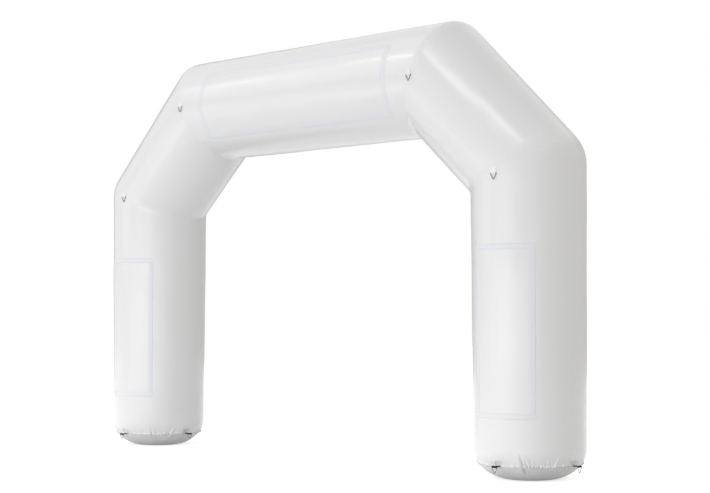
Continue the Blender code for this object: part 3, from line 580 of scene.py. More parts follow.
# ---------------------------------------------------------------- mesh building
class Sheet:
    """Points, faces and a strip map, gathered for one mesh."""

    def __init__(self):
        self.points = []
        self.faces = []
        self.strips = []
        self.count = 0

    def add(self, points):
        """Add points of any grid shape and give back their numbers in the same shape."""
        points = np.asarray(points, float)
        shape = points.shape[:-1]
        self.points.append(points.reshape(-1, 3))
        first = self.count
        self.count += self.points[-1].shape[0]
        return np.arange(first, self.count).reshape(shape)

    def face(self, corners, strip):
        self.faces.append(tuple(int(c) for c in corners))
        self.strips.extend(strip)

    def quads(self, ids, u, v, wrap=False, left_out=((0, 0), (0, 0))):
        """Faces of a grid. u and v give the strip map and have one more column if it wraps.
        left_out gives the rows and columns of a window that stays open."""
        rows, columns = ids.shape
        last = columns if wrap else columns - 1
        (low, high), (first, end) = left_out
        for r in range(rows - 1):
            for c in range(last):
                if low <= r < high and first <= c < end:
                    continue
                d = (c + 1) % columns
                self.face((ids[r, c], ids[r, d], ids[r + 1, d], ids[r + 1, c]),
                          ((u[r][c], v[r][c]), (u[r][c + 1], v[r][c + 1]),
                           (u[r + 1][c + 1], v[r + 1][c + 1]), (u[r + 1][c], v[r + 1][c])))

    def join_rows(self, fine, coarse, fine_map, coarse_map):
        """Faces between two closed rows whose counts differ by a whole ratio."""
        ratio = len(fine) // len(coarse)
        for c in range(len(coarse)):
            d = (c + 1) % len(coarse)
            run = [c * ratio + k for k in range(ratio + 1)]
            corners = [fine[k % len(fine)] for k in run] + [coarse[d], coarse[c]]
            strip = [fine_map[k] for k in run] + [coarse_map[c + 1], coarse_map[c]]
            self.face(corners, strip)

    def mesh(self, name, start=None, axis=None):
        """Mesh of the gathered faces, turned to face away from an axis if one is given."""
        mesh = bpy.data.meshes.new(name)
        points = np.concatenate(self.points)
        mesh.from_pydata(points.tolist(), [], self.faces)
        layer = mesh.uv_layers.new(name="Strip")
        layer.data.foreach_set("uv", np.asarray(self.strips, np.float32).ravel())
        if axis is not None:
            middles = np.empty(len(mesh.polygons) * 3)
            normals = middles.copy()
            mesh.polygons.foreach_get("center", middles)
            mesh.polygons.foreach_get("normal", normals)
            away = middles.reshape(-1, 3) - start
            away -= (away @ axis)[:, None] * axis
            if np.sum(away * normals.reshape(-1, 3)) < 0:
                mesh.flip_normals()
        mesh.update()
        mesh.shade_smooth()
        return mesh


def piece(name, mesh, finish, body=ENVELOPE, replaces=()):
    """Link a mesh as a piece of the arch, with its finish and the body that it rides on."""
    obj = bpy.data.objects.new(name, mesh)
    bpy.context.scene.collection.objects.link(obj)
    mesh.materials.append(bpy.data.materials[finish])
    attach(obj, body)
    if replaces:
        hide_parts(*replaces)
    return obj


def thicken(obj, thickness):
    """Give an outer face its thickness, on the inside."""
    shell = obj.modifiers.new("Thickness", "SOLIDIFY")
    shell.thickness = thickness
    shell.offset = -1.0


def skin_piece(name, sheet, start, axis, node, finish="coated_fabric_white",
               thickness=SKIN):
    """Make a piece of fabric that faces away from an axis and replaces a node."""
    mesh = sheet.mesh(name, start, axis)
    obj = piece(name, mesh, finish, replaces=(node,))
    thicken(obj, thickness)


def closed_piece(name, sheet, finish, node, body=ENVELOPE):
    """Make a piece of closed forms, with their faces turned outwards, that replaces a node."""
    mesh = sheet.mesh(name)
    outward_faces(mesh)
    piece(name, mesh, finish, body=body, replaces=(node,))


def outward_faces(mesh):
    work = bmesh.new()
    work.from_mesh(mesh)
    bmesh.ops.recalc_face_normals(work, faces=work.faces)
    work.to_mesh(mesh)
    work.free()
    mesh.shade_smooth()
    mesh.set_sharp_from_angle(angle=math.radians(50))


def smoothstep(low, high, value):
    t = np.clip((value - low) / (high - low), 0.0, 1.0)
    return t * t * (3 - 2 * t)


def unit(vectors):
    return vectors / np.linalg.norm(vectors, axis=-1, keepdims=True)


def from_zero(steps):
    """Running total of some steps, with 0 in front."""
    return np.concatenate([[0.0], np.cumsum(steps)])


def path_lengths(points):
    """How far along a run of points each of them lies."""
    return from_zero(np.linalg.norm(np.diff(points, axis=0), axis=-1))


def turns_round(columns):
    """Angles spaced evenly round a circle."""
    return np.arange(columns) * 2 * math.pi / columns


class Tube:
    """One straight air tube between two mitres. Angle 0 faces the outside of the arch and a
    quarter turn faces the front."""

    def __init__(self, start, end, outward, radii, mitres, rounds):
        self.start = np.array(start, float)
        axis = np.array(end, float) - self.start
        self.length = np.linalg.norm(axis)
        self.axis = axis / self.length
        self.outward = unit(np.array(outward, float))
        self.radii, self.mitres, self.rounds = radii, mitres, rounds
        self.spin = 1 if np.dot(np.cross(self.outward, FRONT), self.axis) > 0 else -1

    def place(self, along, reach, across):
        along, reach, across = np.broadcast_arrays(along, reach, across)
        return (self.start + along[..., None] * self.axis + reach[..., None] * self.outward
                + across[..., None] * FRONT)

    def arc(self, angle, at_end, inset=0.0):
        fullness = ((1 + np.cos(angle)) / 2) ** MITRE_ROUND_POWER
        tangent = LEAST_MITRE_ROUND + (self.rounds[at_end] - LEAST_MITRE_ROUND) * fullness
        return tangent / math.tan(self.mitres[at_end]) - inset * np.cos(angle)

    def near_mitre(self, angle, at_end, distance, inset=0.0):
        half_turn = self.mitres[at_end]
        outer_arc = self.arc(angle, at_end)
        radius = self.radii[at_end] - inset
        bend = self.arc(angle, at_end, inset)
        reach = radius * np.cos(angle)
        beta = np.maximum(half_turn - distance / outer_arc, 0.0)
        past = np.maximum(distance - outer_arc * half_turn, 0.0)
        back = bend * (math.tan(half_turn) - np.sin(beta)) + past - reach * math.tan(half_turn)
        drop = bend * (1 - np.cos(beta))
        along = self.length - back if at_end else back
        return self.place(along, reach - drop, radius * np.sin(angle))

    def run_length(self, angle, at_end):
        """Length of skin from the mitre plane to the straight run."""
        tape = SEAM_TAPE_WIDTH / 2
        return np.maximum(self.arc(angle, at_end) * self.mitres[at_end], MITRE_RUN_SHARE * tape)


CLOSE_TO_MITRE = (0.00003, 0.0012, 0.0024, 0.0038, 0.0055, 0.0080, 0.0115, 0.0160, 0.0220)
MITRE_STEPS = 5


def mitre_rows(tube, angle, at_end):
    """Rows of points from the mitre out to the straight run, and how far out each one is."""
    whole = tube.run_length(angle, at_end)
    distances = [np.full_like(angle, d) for d in CLOSE_TO_MITRE]
    for step in range(1, MITRE_STEPS + 1):
        share = step / MITRE_STEPS
        distances.append(CLOSE_TO_MITRE[-1] * (1 - share) + whole * share)
    rows = [tube.near_mitre(angle, at_end, d) for d in distances]
    return np.array(rows), np.array(distances)


def arch_tubes():
    """The five tubes by name. Each runs up its side, or from left to right."""
    tubes = {"crossbeam": Tube(
        (-BEAM_HALF_LENGTH, 0, BEAM_HEIGHT), (BEAM_HALF_LENGTH, 0, BEAM_HEIGHT), (0, 0, 1),
        (BEAM_RADIUS, BEAM_RADIUS), (BEAM_MITRE, BEAM_MITRE),
        (BEAM_MITRE_ROUND, BEAM_MITRE_ROUND))}
    for side, sign in SIDES:
        tubes[side + "_leg"] = Tube(
            (sign * LEG_X, 0, 0), (sign * LEG_X, 0, LEG_HEIGHT), (sign, 0, 0),
            (LEG_FOOT_RADIUS, LEG_TOP_RADIUS), (LEG_MITRE, LEG_MITRE),
            (LEG_MITRE_ROUND, LEG_MITRE_ROUND))
        tubes[side + "_shoulder"] = Tube(
            (sign * LEG_X, 0, LEG_HEIGHT), (sign * BEAM_HALF_LENGTH, 0, BEAM_HEIGHT),
            (sign * math.cos(SHOULDER_LEAN), 0, math.sin(SHOULDER_LEAN)),
            (LEG_TOP_RADIUS, BEAM_RADIUS), (LEG_MITRE, BEAM_MITRE),
            (LEG_MITRE_ROUND, BEAM_MITRE_ROUND))
    return tubes


# ---------------------------------------------------------------- folds of the fabric
def ring_places():
    """Middle of each corner ring's bar, with the direction that it faces."""
    places = {}
    for corner, drop in RING_DROPS.items():
        sign = -1 if corner.startswith("left") else 1
        x, radius, height = ((LEG_X, LEG_TOP_RADIUS, LEG_HEIGHT) if corner.endswith("leg")
                             else (BEAM_HALF_LENGTH, BEAM_RADIUS, BEAM_HEIGHT))
        out = radius + GAP + EYE_OUTER
        for face, azimuth in (("front", 0.0), ("back", math.pi)):
            middle = (sign * x, -out * math.cos(azimuth), height - drop)
            places[f"{corner}_{face}"] = (middle, azimuth)
    return places


def foot_ring_places():
    places = {}
    for side, sign in SIDES:
        faces = {"front": 0.0, "back": math.pi,
                 "outer": sign * math.pi / 2, "inner": -sign * math.pi / 2}
        for face, azimuth in faces.items():
            places[f"{side}_foot_{face}"] = (
                (sign * LEG_X + FOOT_RING_RADIUS * math.sin(azimuth),
                 -FOOT_RING_RADIUS * math.cos(azimuth), FOOT_SEAM_HEIGHT), azimuth)
    return places


def valve_place(sign):
    """Where a valve's axis meets the back of a leg."""
    share = (VALVE_HEIGHT - FOOT_WALL_TOP) / (LEG_HEIGHT - FOOT_WALL_TOP)
    radius = LEG_FOOT_RADIUS + (LEG_TOP_RADIUS - LEG_FOOT_RADIUS) * share
    return (sign * LEG_X, radius, VALVE_HEIGHT)


CALM_START, CALM_END = 0.07, 0.20      # distances from a fitting between which folds grow
PUCKER_REACH, PUCKER_START = 0.055, 0.012
GROOVE_HALF_WIDTH = 0.0042
SWELL_DISTANCE, SWELL_HALF_WIDTH, SWELL_SHARE = 0.014, 0.008, 0.35


class Folds:
    """Where the taut fabric waves and puckers. The same seed gives the same folds."""

    def __init__(self, settings):
        rng = random.Random(settings.seed)
        self.waves = []
        for _ in range(16):
            direction = Vector((rng.gauss(0, 1), rng.gauss(0, 1), rng.gauss(0, 1))).normalized()
            self.waves.append((np.array(direction), rng.uniform(0.28, 0.95),
                               rng.uniform(0, 2 * math.pi)))
        self.wave_depth = settings.wave_depth
        self.pucker_depth = settings.pucker_depth
        self.groove_depth = settings.groove_depth
        self.still = [np.array(place) for place, _ in ring_places().values()]
        self.still += [np.array(valve_place(sign)) for _, sign in SIDES]
        self.puckers = {}
        for joint in RING_DROPS:
            self.puckers[joint] = [(rng.randint(16, 44), rng.uniform(0, 2 * math.pi),
                                    rng.uniform(0.4, 1.0)) for _ in range(7)]

    def calm(self, points):
        """0 at a fitting, where the fabric lies flat, and 1 away from it."""
        calm = np.ones(points.shape[:-1])
        for place in self.still:
            away = np.linalg.norm(points - place, axis=-1)
            calm = np.minimum(calm, smoothstep(CALM_START, CALM_END, away))
        return calm

    def wave(self, points):
        total = np.zeros(points.shape[:-1])
        for direction, length, phase in self.waves:
            total += np.sin(2 * math.pi * (points @ direction) / length + phase)
        return total * self.wave_depth / 2.2

    def pucker(self, joint, angle, distance):
        """Short folds that run out from a mitre seam, strongest inside the bend."""
        total = 0.0
        for count, phase, depth in self.puckers[joint]:
            total = total + depth * np.sin(count * angle + phase)
        inner = 0.45 + 0.55 * ((1 - np.cos(angle)) / 2)
        fade = (np.exp(-(distance / PUCKER_REACH) ** 2)
                * smoothstep(0.0, PUCKER_START, distance))
        return total * self.pucker_depth / 2.0 * inner * fade

    def groove(self, distance):
        """The welded seam is drawn in, and the fabric swells a little beside it."""
        swell = np.exp(-((distance - SWELL_DISTANCE) / SWELL_HALF_WIDTH) ** 2)
        return (-self.groove_depth * np.exp(-(distance / GROOVE_HALF_WIDTH) ** 2)
                + SWELL_SHARE * self.groove_depth * swell)


def grid_normals(points, outward):
    """Outward normals of a closed grid of rows."""
    around = np.roll(points, -1, axis=1) - np.roll(points, 1, axis=1)
    along = np.gradient(points, axis=0)
    normals = unit(np.cross(around, along))
    if np.sum(normals * outward) < 0:
        normals = -normals
    return normals


def tube_skin_rows(tube, joints, folds):
    """Displaced rows of a tube, from its start to its end. joints names the mitre at each
    end. A leg has none at its start, where it stands on the curve of its foot."""
    angle = turns_round(COLUMNS)
    start_joint, end_joint = joints
    end_rows, end_distance = mitre_rows(tube, angle, True)
    if start_joint:
        start_rows, start_distance = mitre_rows(tube, angle, False)
    else:
        share = ABOVE_FOOT / (tube.length - FOOT_WALL_TOP)
        radius = tube.radii[0] * (1 - share) + tube.radii[1] * share
        start_rows = tube.place(np.full_like(angle, FOOT_WALL_TOP + ABOVE_FOOT),
                                radius * np.cos(angle), radius * np.sin(angle))[None]
    low, high = start_rows[-1], end_rows[-1]
    span = np.linalg.norm(high - low, axis=-1).max()
    count = max(int(round(span / ROW_SPACING)), 2)
    shares = np.arange(1, count) / count
    straight = low[None] + (high - low)[None] * shares[:, None, None]
    points = np.concatenate([start_rows, straight, end_rows[::-1]])

    out = np.cos(angle)[:, None] * tube.outward + np.sin(angle)[:, None] * FRONT
    normals = grid_normals(points, np.broadcast_to(out, points.shape))
    near = []
    if start_joint:
        rest = points[len(start_rows):]
        beyond = np.linalg.norm(rest - low[None], axis=-1) + start_distance[-1]
        near.append((start_joint, np.concatenate([start_distance, beyond])))
    rest = points[:-len(end_rows)]
    before = np.linalg.norm(rest - high[None], axis=-1) + end_distance[-1]
    near.append((end_joint, np.concatenate([before, end_distance[::-1]])))
    angles = np.broadcast_to(angle[None], points.shape[:2])
    lift = folds.wave(points)
    for joint, distance in near:
        lift = lift + folds.pucker(joint, angles, distance)
    lift = lift * folds.calm(points)
    for _, distance in near:
        lift = lift + folds.groove(distance)
    return points + normals * lift[..., None]


def strip_map(points):
    """Metres round and along a closed grid, with the wrapping column repeated."""
    closed = np.concatenate([points, points[:, :1]], axis=1)
    u = from_zero(np.linalg.norm(np.diff(closed, axis=1), axis=-1).mean(axis=0))
    v = from_zero(np.linalg.norm(np.diff(closed, axis=0), axis=-1).mean(axis=1))
    shape = closed.shape[:2]
    return np.broadcast_to(u[None], shape), np.broadcast_to(v[:, None], shape)


class Gathers:
    """Pleats round one foot, from the weld up the wall and down the dish."""

    # azimuth in degrees from the front towards the right, depth, half width, reach up,
    # reach down, and lean (sideways shift for each metre down)
    SEEN = {
        "right": (
            (28.3, 2.8, 0.0072, 0.135, 0.150, 0.19), (33.0, 1.0, 0.0062, 0.100, 0.018, 0.34),
            (36.8, 1.2, 0.0065, 0.105, 0.030, 0.13), (40.4, 1.1, 0.0058, 0.050, 0.020, 0.0),
            (14.0, 0.9, 0.0080, 0.070, 0.030, 0.40), (53.8, 0.9, 0.0065, 0.090, 0.015, 0.33),
            (57.4, 0.8, 0.0055, 0.080, 0.012, 0.05), (62.0, -1.3, 0.0090, 0.100, 0.050, -0.42),
            (47.0, 0.5, 0.0060, 0.040, 0.012, 0.10), (20.5, 0.6, 0.0070, 0.050, 0.020, 0.10),
            (70.0, 0.5, 0.0090, 0.060, 0.020, -0.20), (8.0, 0.8, 0.0090, 0.035, 0.030, 0.30)),
        "left": (
            (40.4, 1.7, 0.0080, 0.105, 0.080, 0.02), (66.0, -1.5, 0.0095, 0.095, 0.070, -0.36),
            (12.3, 0.9, 0.0080, 0.070, 0.025, 0.20), (18.7, 0.7, 0.0070, 0.060, 0.020, 0.10),
            (28.9, 0.9, 0.0075, 0.065, 0.020, 0.10), (47.1, 0.9, 0.0070, 0.070, 0.020, 0.10),
            (60.5, 0.8, 0.0070, 0.060, 0.020, -0.10), (54.0, 0.5, 0.0065, 0.045, 0.015, 0.0)),
    }
    LEAST_DISTANCE = 0.019         # between the middles of two pleats, along the weld
    SEEN_ARC = (4, 74)             # degrees: no random pleats among those of the photo
    WIDENING = 6                   # share by which a pleat widens for each metre from the weld
    # Ridge on each side of a pleat: share of its depth, then place and width in half widths
    RIDGE_SHARE, RIDGE_PLACE, RIDGE_WIDTH = 0.22, 2.1, 0.9
    # Puff beside the weld: distance from it, half width, and share of the puff below the weld
    PUFF_PLACE, PUFF_HALF_WIDTH, PUFF_BELOW = 0.0085, 0.0075, 0.35
    RIPPLE_DEPTH, SAG_DEPTH = 0.0010, 0.0020
    # A tab holds the weld flat over its width and dents the wall above it
    TAB_FLAT, TAB_FREE = 0.020, 0.034
    DENT_DEPTH, DENT_PLACE, DENT_HALF_WIDTH = 0.0045, 0.030, 0.016

    def __init__(self, side, settings):
        rng = random.Random(settings.seed * 7 + (3 if side == "left" else 5))
        self.depth = settings.pleat_depth
        self.puff_depth = settings.puff_depth
        self.pleats = [[math.radians(p[0]), *p[1:]] for p in self.SEEN[side]]
        taken = [p[0] for p in self.pleats]
        step = 2 * math.pi / max(settings.pleat_count, 1)
        for index in range(settings.pleat_count):
            azimuth = (index + rng.uniform(-0.38, 0.38)) * step
            shape = [rng.choice((0.35, 0.5, 0.65, 0.9, 1.25)), rng.uniform(0.0055, 0.0095),
                     rng.uniform(0.035, 0.105), rng.uniform(0.012, 0.045), rng.gauss(0, 0.18)]
            clear = min(abs((azimuth - t + math.pi) % (2 * math.pi) - math.pi) for t in taken)
            low, high = (math.radians(a) for a in self.SEEN_ARC)
            if clear * FOOT_SEAM_RADIUS > self.LEAST_DISTANCE and not low < azimuth < high:
                self.pleats.append([azimuth] + shape)
                taken.append(azimuth)
        self.scallops = [(rng.randint(60, 130), rng.uniform(0, 2 * math.pi)) for _ in range(9)]
        self.sags = [(rng.randint(7, 24), rng.uniform(0, 2 * math.pi)) for _ in range(7)]

    def ripple(self, azimuth):
        """Short waves along the weld."""
        return sum(np.sin(n * azimuth + p) for n, p in self.scallops) / 2.1

    def sag(self, azimuth):
        """Long waves along the weld."""
        return sum(np.sin(n * azimuth + p) for n, p in self.sags) / 1.9

    def tabs(self, azimuth):
        """1 at a webbing tab, where the weld lies flat, and 0 between the tabs."""
        away = np.abs((azimuth + math.pi / 4) % (math.pi / 2) - math.pi / 4) * FOOT_SEAM_RADIUS
        return 1 - smoothstep(self.TAB_FLAT, self.TAB_FREE, away)

    def lift(self, azimuth, up):
        """Height of the folds at an azimuth and a distance up (or, below zero, down) from
        the weld."""
        valleys = np.zeros(np.broadcast(azimuth, up).shape)
        away = np.abs(up)
        for place, depth, width, high, low, lean in self.pleats:
            turn = (azimuth - place + math.pi) % (2 * math.pi) - math.pi
            spread = width * (1 + self.WIDENING * away)
            across = np.abs(turn * FOOT_SEAM_RADIUS + lean * up) / spread
            reach = np.where(up > 0, high, low)
            fade = 1 - smoothstep(0.30 * reach, reach, away)
            ridge = np.exp(-((across - self.RIDGE_PLACE) / self.RIDGE_WIDTH) ** 2)
            valleys += depth * fade * (np.exp(-1.2 * across ** 1.5) - self.RIDGE_SHARE * ridge)
        total = -self.depth * valleys * (0.35 + 0.65 * smoothstep(0.002, 0.016, away))
        ripple, sag = self.ripple(azimuth), self.sag(azimuth)
        puff = np.exp(-((away - self.PUFF_PLACE - 0.0015 * sag) / self.PUFF_HALF_WIDTH) ** 2)
        full = np.clip(1 + 0.35 * ripple - 0.8 * valleys, 0.1, 1.8)
        total += self.puff_depth * full * puff * np.where(up > 0, 1.0, self.PUFF_BELOW)
        total += self.RIPPLE_DEPTH * ripple * (1 - smoothstep(0.010, 0.045, away))
        total += (self.SAG_DEPTH * sag * smoothstep(0.0, 0.03, away)
                  * (1 - smoothstep(0.09, 0.17, away)))
        near_tab = self.tabs(azimuth)
        total *= 1 - 0.9 * near_tab * (1 - smoothstep(0.010, 0.026, away))
        dent = np.exp(-((away - self.DENT_PLACE) / self.DENT_HALF_WIDTH) ** 2)
        total -= self.DENT_DEPTH * near_tab * dent * (up > 0)
        return total * smoothstep(0.0, 0.0016, away)


def bezier(start, control, end, shares):
    t = np.asarray(shares)[:, None]
    start, control, end = (np.array(p)[None] for p in (start, control, end))
    return (1 - t) ** 2 * start + 2 * t * (1 - t) * control + t * t * end


def foot_wall_profile():
    """Side view of a foot above its weld, as radius and height, from the weld up."""
    shares = np.array([0, .012, .026, .042, .06, .08, .105, .135, .17, .21, .26, .32, .39, .47,
                       .55, .64, .74, .84, .93, 1.0])
    lean = FOOT_SEAM_HEIGHT + FOOT_CURVE_HEIGHT * 0.5
    rim = FOOT_SEAM_HEIGHT + FOOT_SEAM_GAP / 2
    return bezier((FOOT_SEAM_RADIUS, rim), (LEG_FOOT_RADIUS, lean),
                  (LEG_FOOT_RADIUS, FOOT_WALL_TOP), shares)


def dish_profile():
    """The same for the dish under the weld, from the weld down to the floor."""
    shares = np.array([0, .01, .022, .036, .052, .07, .092, .12, .155, .2, .25, .31, .38, .46,
                       .55, .65, .76, .88, 1.0])
    radial, height = DISH_SHOULDER_SHARES
    control = (CONTACT_RADIUS + radial * (FOOT_SEAM_RADIUS - CONTACT_RADIUS),
               height * FOOT_SEAM_HEIGHT)
    rim = FOOT_SEAM_HEIGHT - FOOT_SEAM_GAP / 2
    return bezier((FOOT_SEAM_RADIUS, rim), control, (CONTACT_RADIUS, 0.0), shares)


def foot_middle(sign):
    return np.array([sign * LEG_X, 0, 0])


def foot_circle(sign, columns):
    """Directions out of a foot, one for each column, and the azimuth of each."""
    angle = turns_round(columns)
    radial = np.stack([sign * np.cos(angle), -np.sin(angle), np.zeros_like(angle)], -1)
    return radial, np.arctan2(radial[:, 0], -radial[:, 1])


def turned_rows(sign, profile, gathers, upward):
    """Displaced rows of a foot surface, from the weld outwards."""
    radial, azimuth = foot_circle(sign, FOOT_COLUMNS)
    points = profile[:, None, :1] * radial[None] + UP * profile[:, None, 1:] + foot_middle(sign)
    tilt = (0 if upward else -1) * UP
    normals = grid_normals(points, np.broadcast_to(radial[None], points.shape) + tilt)
    up = path_lengths(profile)[:, None] * (1 if upward else -1)
    lift = gathers.lift(azimuth[None], np.broadcast_to(up, points.shape[:2]))
    if not upward:
        lift = lift * smoothstep(0.0, 0.03, profile[:, 1])[:, None]
    return points + normals * lift[..., None]


def valve_window(points, place):
    """Rows and columns of a leg's grid that lie round a valve."""
    middle = int(np.argmax(points[0, :, 1]))
    width = np.linalg.norm(points[0, middle + 1] - points[0, middle])
    reach = int(math.ceil(VALVE_WINDOW / width))
    heights = points[:, middle, 2]
    low = int(np.searchsorted(heights, place[2] - VALVE_WINDOW, side="right")) - 1
    high = int(np.searchsorted(heights, place[2] + VALVE_WINDOW))
    return (low, high), (middle - reach, middle + reach)


def add_valve_hole(sheet, ids, points, u, v, window, place, hole):
    """Fill a window in a leg with rings of faces round a valve's neck. The fabric lies flat
    where the valve's flange grips it."""
    (low, high), (first, last) = window
    loop = [(low, c) for c in range(first, last)] + [(r, last) for r in range(low, high)]
    loop += [(high, c) for c in range(last, first, -1)]
    loop += [(r, first) for r in range(high, low, -1)]
    count = len(loop)
    rim = np.array([points[r, c] for r, c in loop]) - place
    turns = np.unwrap(np.arctan2(rim[:, 2], rim[:, 0]))
    closed = np.append(turns, turns[0] + math.copysign(2 * math.pi, turns[-1] - turns[0]))
    fine = np.stack([closed[:-1], (closed[:-1] + closed[1:]) / 2], -1).ravel()
    middle = (first + last) // 2
    side = np.sign(points[low, middle + 1, 0] - points[low, middle, 0])
    outermost, gripped = VALVE_WINDOW - 0.002, 0.044
    rows, maps = [], []
    for radius in (outermost, 0.053, 0.046, 0.038, hole + 0.003, hole):
        x, z = radius * np.cos(fine), radius * np.sin(fine)
        wall = np.interp(place[2] + z, points[:, middle, 2], points[:, middle, 1])
        flat = 1 - smoothstep(gripped, outermost, radius)
        y = np.sqrt(wall ** 2 - x ** 2) * (1 - flat) + place[1] * flat
        rows.append(np.stack([place[0] + x, y, place[2] + z], -1))
        height = np.interp(place[2] + z, points[:, middle, 2], v[:, middle])
        maps.append(np.stack([u[low][middle] + side * x, height], -1))
    rings = sheet.add(np.array(rows))
    maps = np.concatenate([maps, np.array(maps)[:, :1]], axis=1)
    sheet.quads(rings, maps[..., 0], maps[..., 1], wrap=True)
    for k in range(count):
        (r0, c0), (r1, c1) = loop[k], loop[(k + 1) % count]
        run = (2 * k + 2, 2 * k + 1, 2 * k)
        corners = [ids[r0, c0], ids[r1, c1]] + [rings[0, j % (2 * count)] for j in run]
        strip = [(u[r0][c0], v[r0][c0]), (u[r1][c1], v[r1][c1])] + [tuple(maps[0, j]) for j in run]
        sheet.face(corners, strip)


def build_leg_skin(side, sign, tube, folds, gathers):
    """A leg from the weld at its foot up to its mitre, with the hole for its valve."""
    sheet = Sheet()
    wall = turned_rows(sign, foot_wall_profile(), gathers, True)
    upper = tube_skin_rows(tube, (None, side + "_leg"), folds)
    fine, coarse = sheet.add(wall), sheet.add(upper)
    wall_u, wall_v = strip_map(wall)
    u, v = strip_map(upper)
    v = v + wall_v.max() + ABOVE_FOOT
    place = valve_place(sign)
    window = valve_window(upper, place)
    neck = VALVE_NECK_RADIUS if sign > 0 else RELIEF_NECK_RADIUS
    sheet.quads(fine, wall_u, wall_v, wrap=True)
    sheet.join_rows(fine[-1], coarse[0], list(zip(wall_u[-1], wall_v[-1])), list(zip(u[0], v[0])))
    sheet.quads(coarse, u, v, wrap=True, left_out=window)
    add_valve_hole(sheet, coarse, upper, u, v, window, place, neck + VALVE_FIT)
    skin_piece(side + "_leg_fabric", sheet, tube.start, tube.axis, side + "_leg_skin")


def build_tube_skin(name, tube, joints, folds):
    sheet = Sheet()
    points = tube_skin_rows(tube, joints, folds)
    sheet.quads(sheet.add(points), *strip_map(points), wrap=True)
    skin_piece(name + "_fabric", sheet, tube.start, tube.axis, name + "_skin")


def build_foot_cap(side, sign, gathers):
    """The dish under a foot, and the flat fabric inside it on the floor."""
    sheet = Sheet()
    rows = turned_rows(sign, dish_profile(), gathers, False)
    rows[..., 2] = np.maximum(rows[..., 2], 0.0)
    u, v = strip_map(rows)
    fine = sheet.add(rows)
    sheet.quads(fine, u, v, wrap=True)
    radial, _ = foot_circle(sign, FOOT_COLUMNS // 8)
    inner = np.array([foot_middle(sign) + radius * radial for radius in CONTACT_RINGS])
    inner_u, inner_v = strip_map(inner)
    inner_v = inner_v + v.max() + ABOVE_FOOT
    coarse = sheet.add(inner)
    sheet.join_rows(fine[-1], coarse[0], list(zip(u[-1], v[-1])),
                    list(zip(inner_u[0], inner_v[0])))
    sheet.quads(coarse, inner_u, inner_v, wrap=True)
    sheet.face(coarse[-1], list(zip(inner_u[-1][:-1], inner_v[-1][:-1])))
    skin_piece(side + "_foot_dish", sheet, foot_middle(sign), UP, side + "_foot_cap",
               "coated_fabric_foot")


def build_foot_fin(side, sign, gathers):
    """The welded flange round a foot, waved by the gathers on both sides of it."""
    radial, azimuth = foot_circle(sign, FOOT_COLUMNS)
    ripple, sway = gathers.ripple(azimuth), gathers.sag(azimuth)
    loose = 1 - gathers.tabs(azimuth)
    half = FIN_THICKNESS / 2
    top = [(FIN_INNER, half), (FIN_INNER + 0.004, half), (FIN_INNER + 0.008, 0.7 * half),
           (FIN_OUTER - 0.0004, 0.6 * half), (FIN_OUTER, 0.25 * half)]
    outline = top + [(radius, -height) for radius, height in reversed(top)]
    rows = []
    for radius, height in outline + outline[:1]:
        out = (radius - FIN_INNER) / FIN_WIDTH
        drop = loose * out * (0.0012 * ripple + 0.0008 * sway - 0.0030)
        spread = radius + loose * out * 0.0008 * ripple
        rows.append(radial * spread[:, None] + UP * (FOOT_SEAM_HEIGHT + height + drop)[:, None]
                    + foot_middle(sign))
    u, v = strip_map(np.array(rows))
    sheet = Sheet()
    ids = sheet.add(rows[:-1])
    sheet.quads(np.concatenate([ids, ids[:1]]), u, v, wrap=True)
    mesh = sheet.mesh(side + "_foot_flange", foot_middle(sign), UP)
    piece(side + "_foot_flange", mesh, "coated_fabric_foot",
          replaces=(side + "_foot_seam_fin",))


def build_seam_tape(name, lower, upper, upper_end):
    """The strip welded inside a mitre, across both skins."""
    angle = turns_round(COLUMNS // 2)
    inset = SKIN + GAP + SEAM_TAPE_DEPTH
    half = SEAM_TAPE_WIDTH / 2
    rows = [lower.near_mitre(angle, True, d, inset) for d in (half, half / 2, 0.0)]
    rows += [upper.near_mitre(angle, upper_end, d, inset) for d in (half / 2, half)]
    sheet = Sheet()
    sheet.quads(sheet.add(rows), *strip_map(np.array(rows)), wrap=True)
    skin_piece(name + "_strip", sheet, lower.start, lower.axis, name,
               thickness=SEAM_TAPE)


# ---------------------------------------------------------------- lying on the skin
SKIN_TREES = {}
RAY_REACH = 0.9


def skin_tree(*names):
    """A tree of the outer skins, to lay tapes and patches on them."""
    if names not in SKIN_TREES:
        points, faces = [], []
        for name in names:
            mesh = bpy.data.objects[name].data
            first = len(points)
            points += [v.co.copy() for v in mesh.vertices]
            faces += [[first + i for i in p.vertices] for p in mesh.polygons]
        SKIN_TREES[names] = BVHTree.FromPolygons(points, faces)
    return SKIN_TREES[names]


def lay(tree, place, direction, lift):
    """Point where a ray meets the skin, lifted off it. A ray that falls in the gap of a mitre
    is tried again beside it."""
    direction = Vector(direction)
    for nudge in (0.0, 0.0008, -0.0008):
        start = Vector(place) + Vector((0, 0, nudge))
        hit, normal, _, _ = tree.ray_cast(start, direction, RAY_REACH)
        if hit is not None:
            if normal.dot(direction) > 0:
                normal = -normal
            return hit + normal * lift
    raise RuntimeError("a tape or patch misses the skin")


# Across half a tape: distance from its edge, and share of its thickness
TAPE_SECTION = ((0.0, 0.0), (0.0, 0.45), (0.0012, 0.62), (0.0030, 1.0), (0.0125, 1.06),
                (0.025, 1.0))


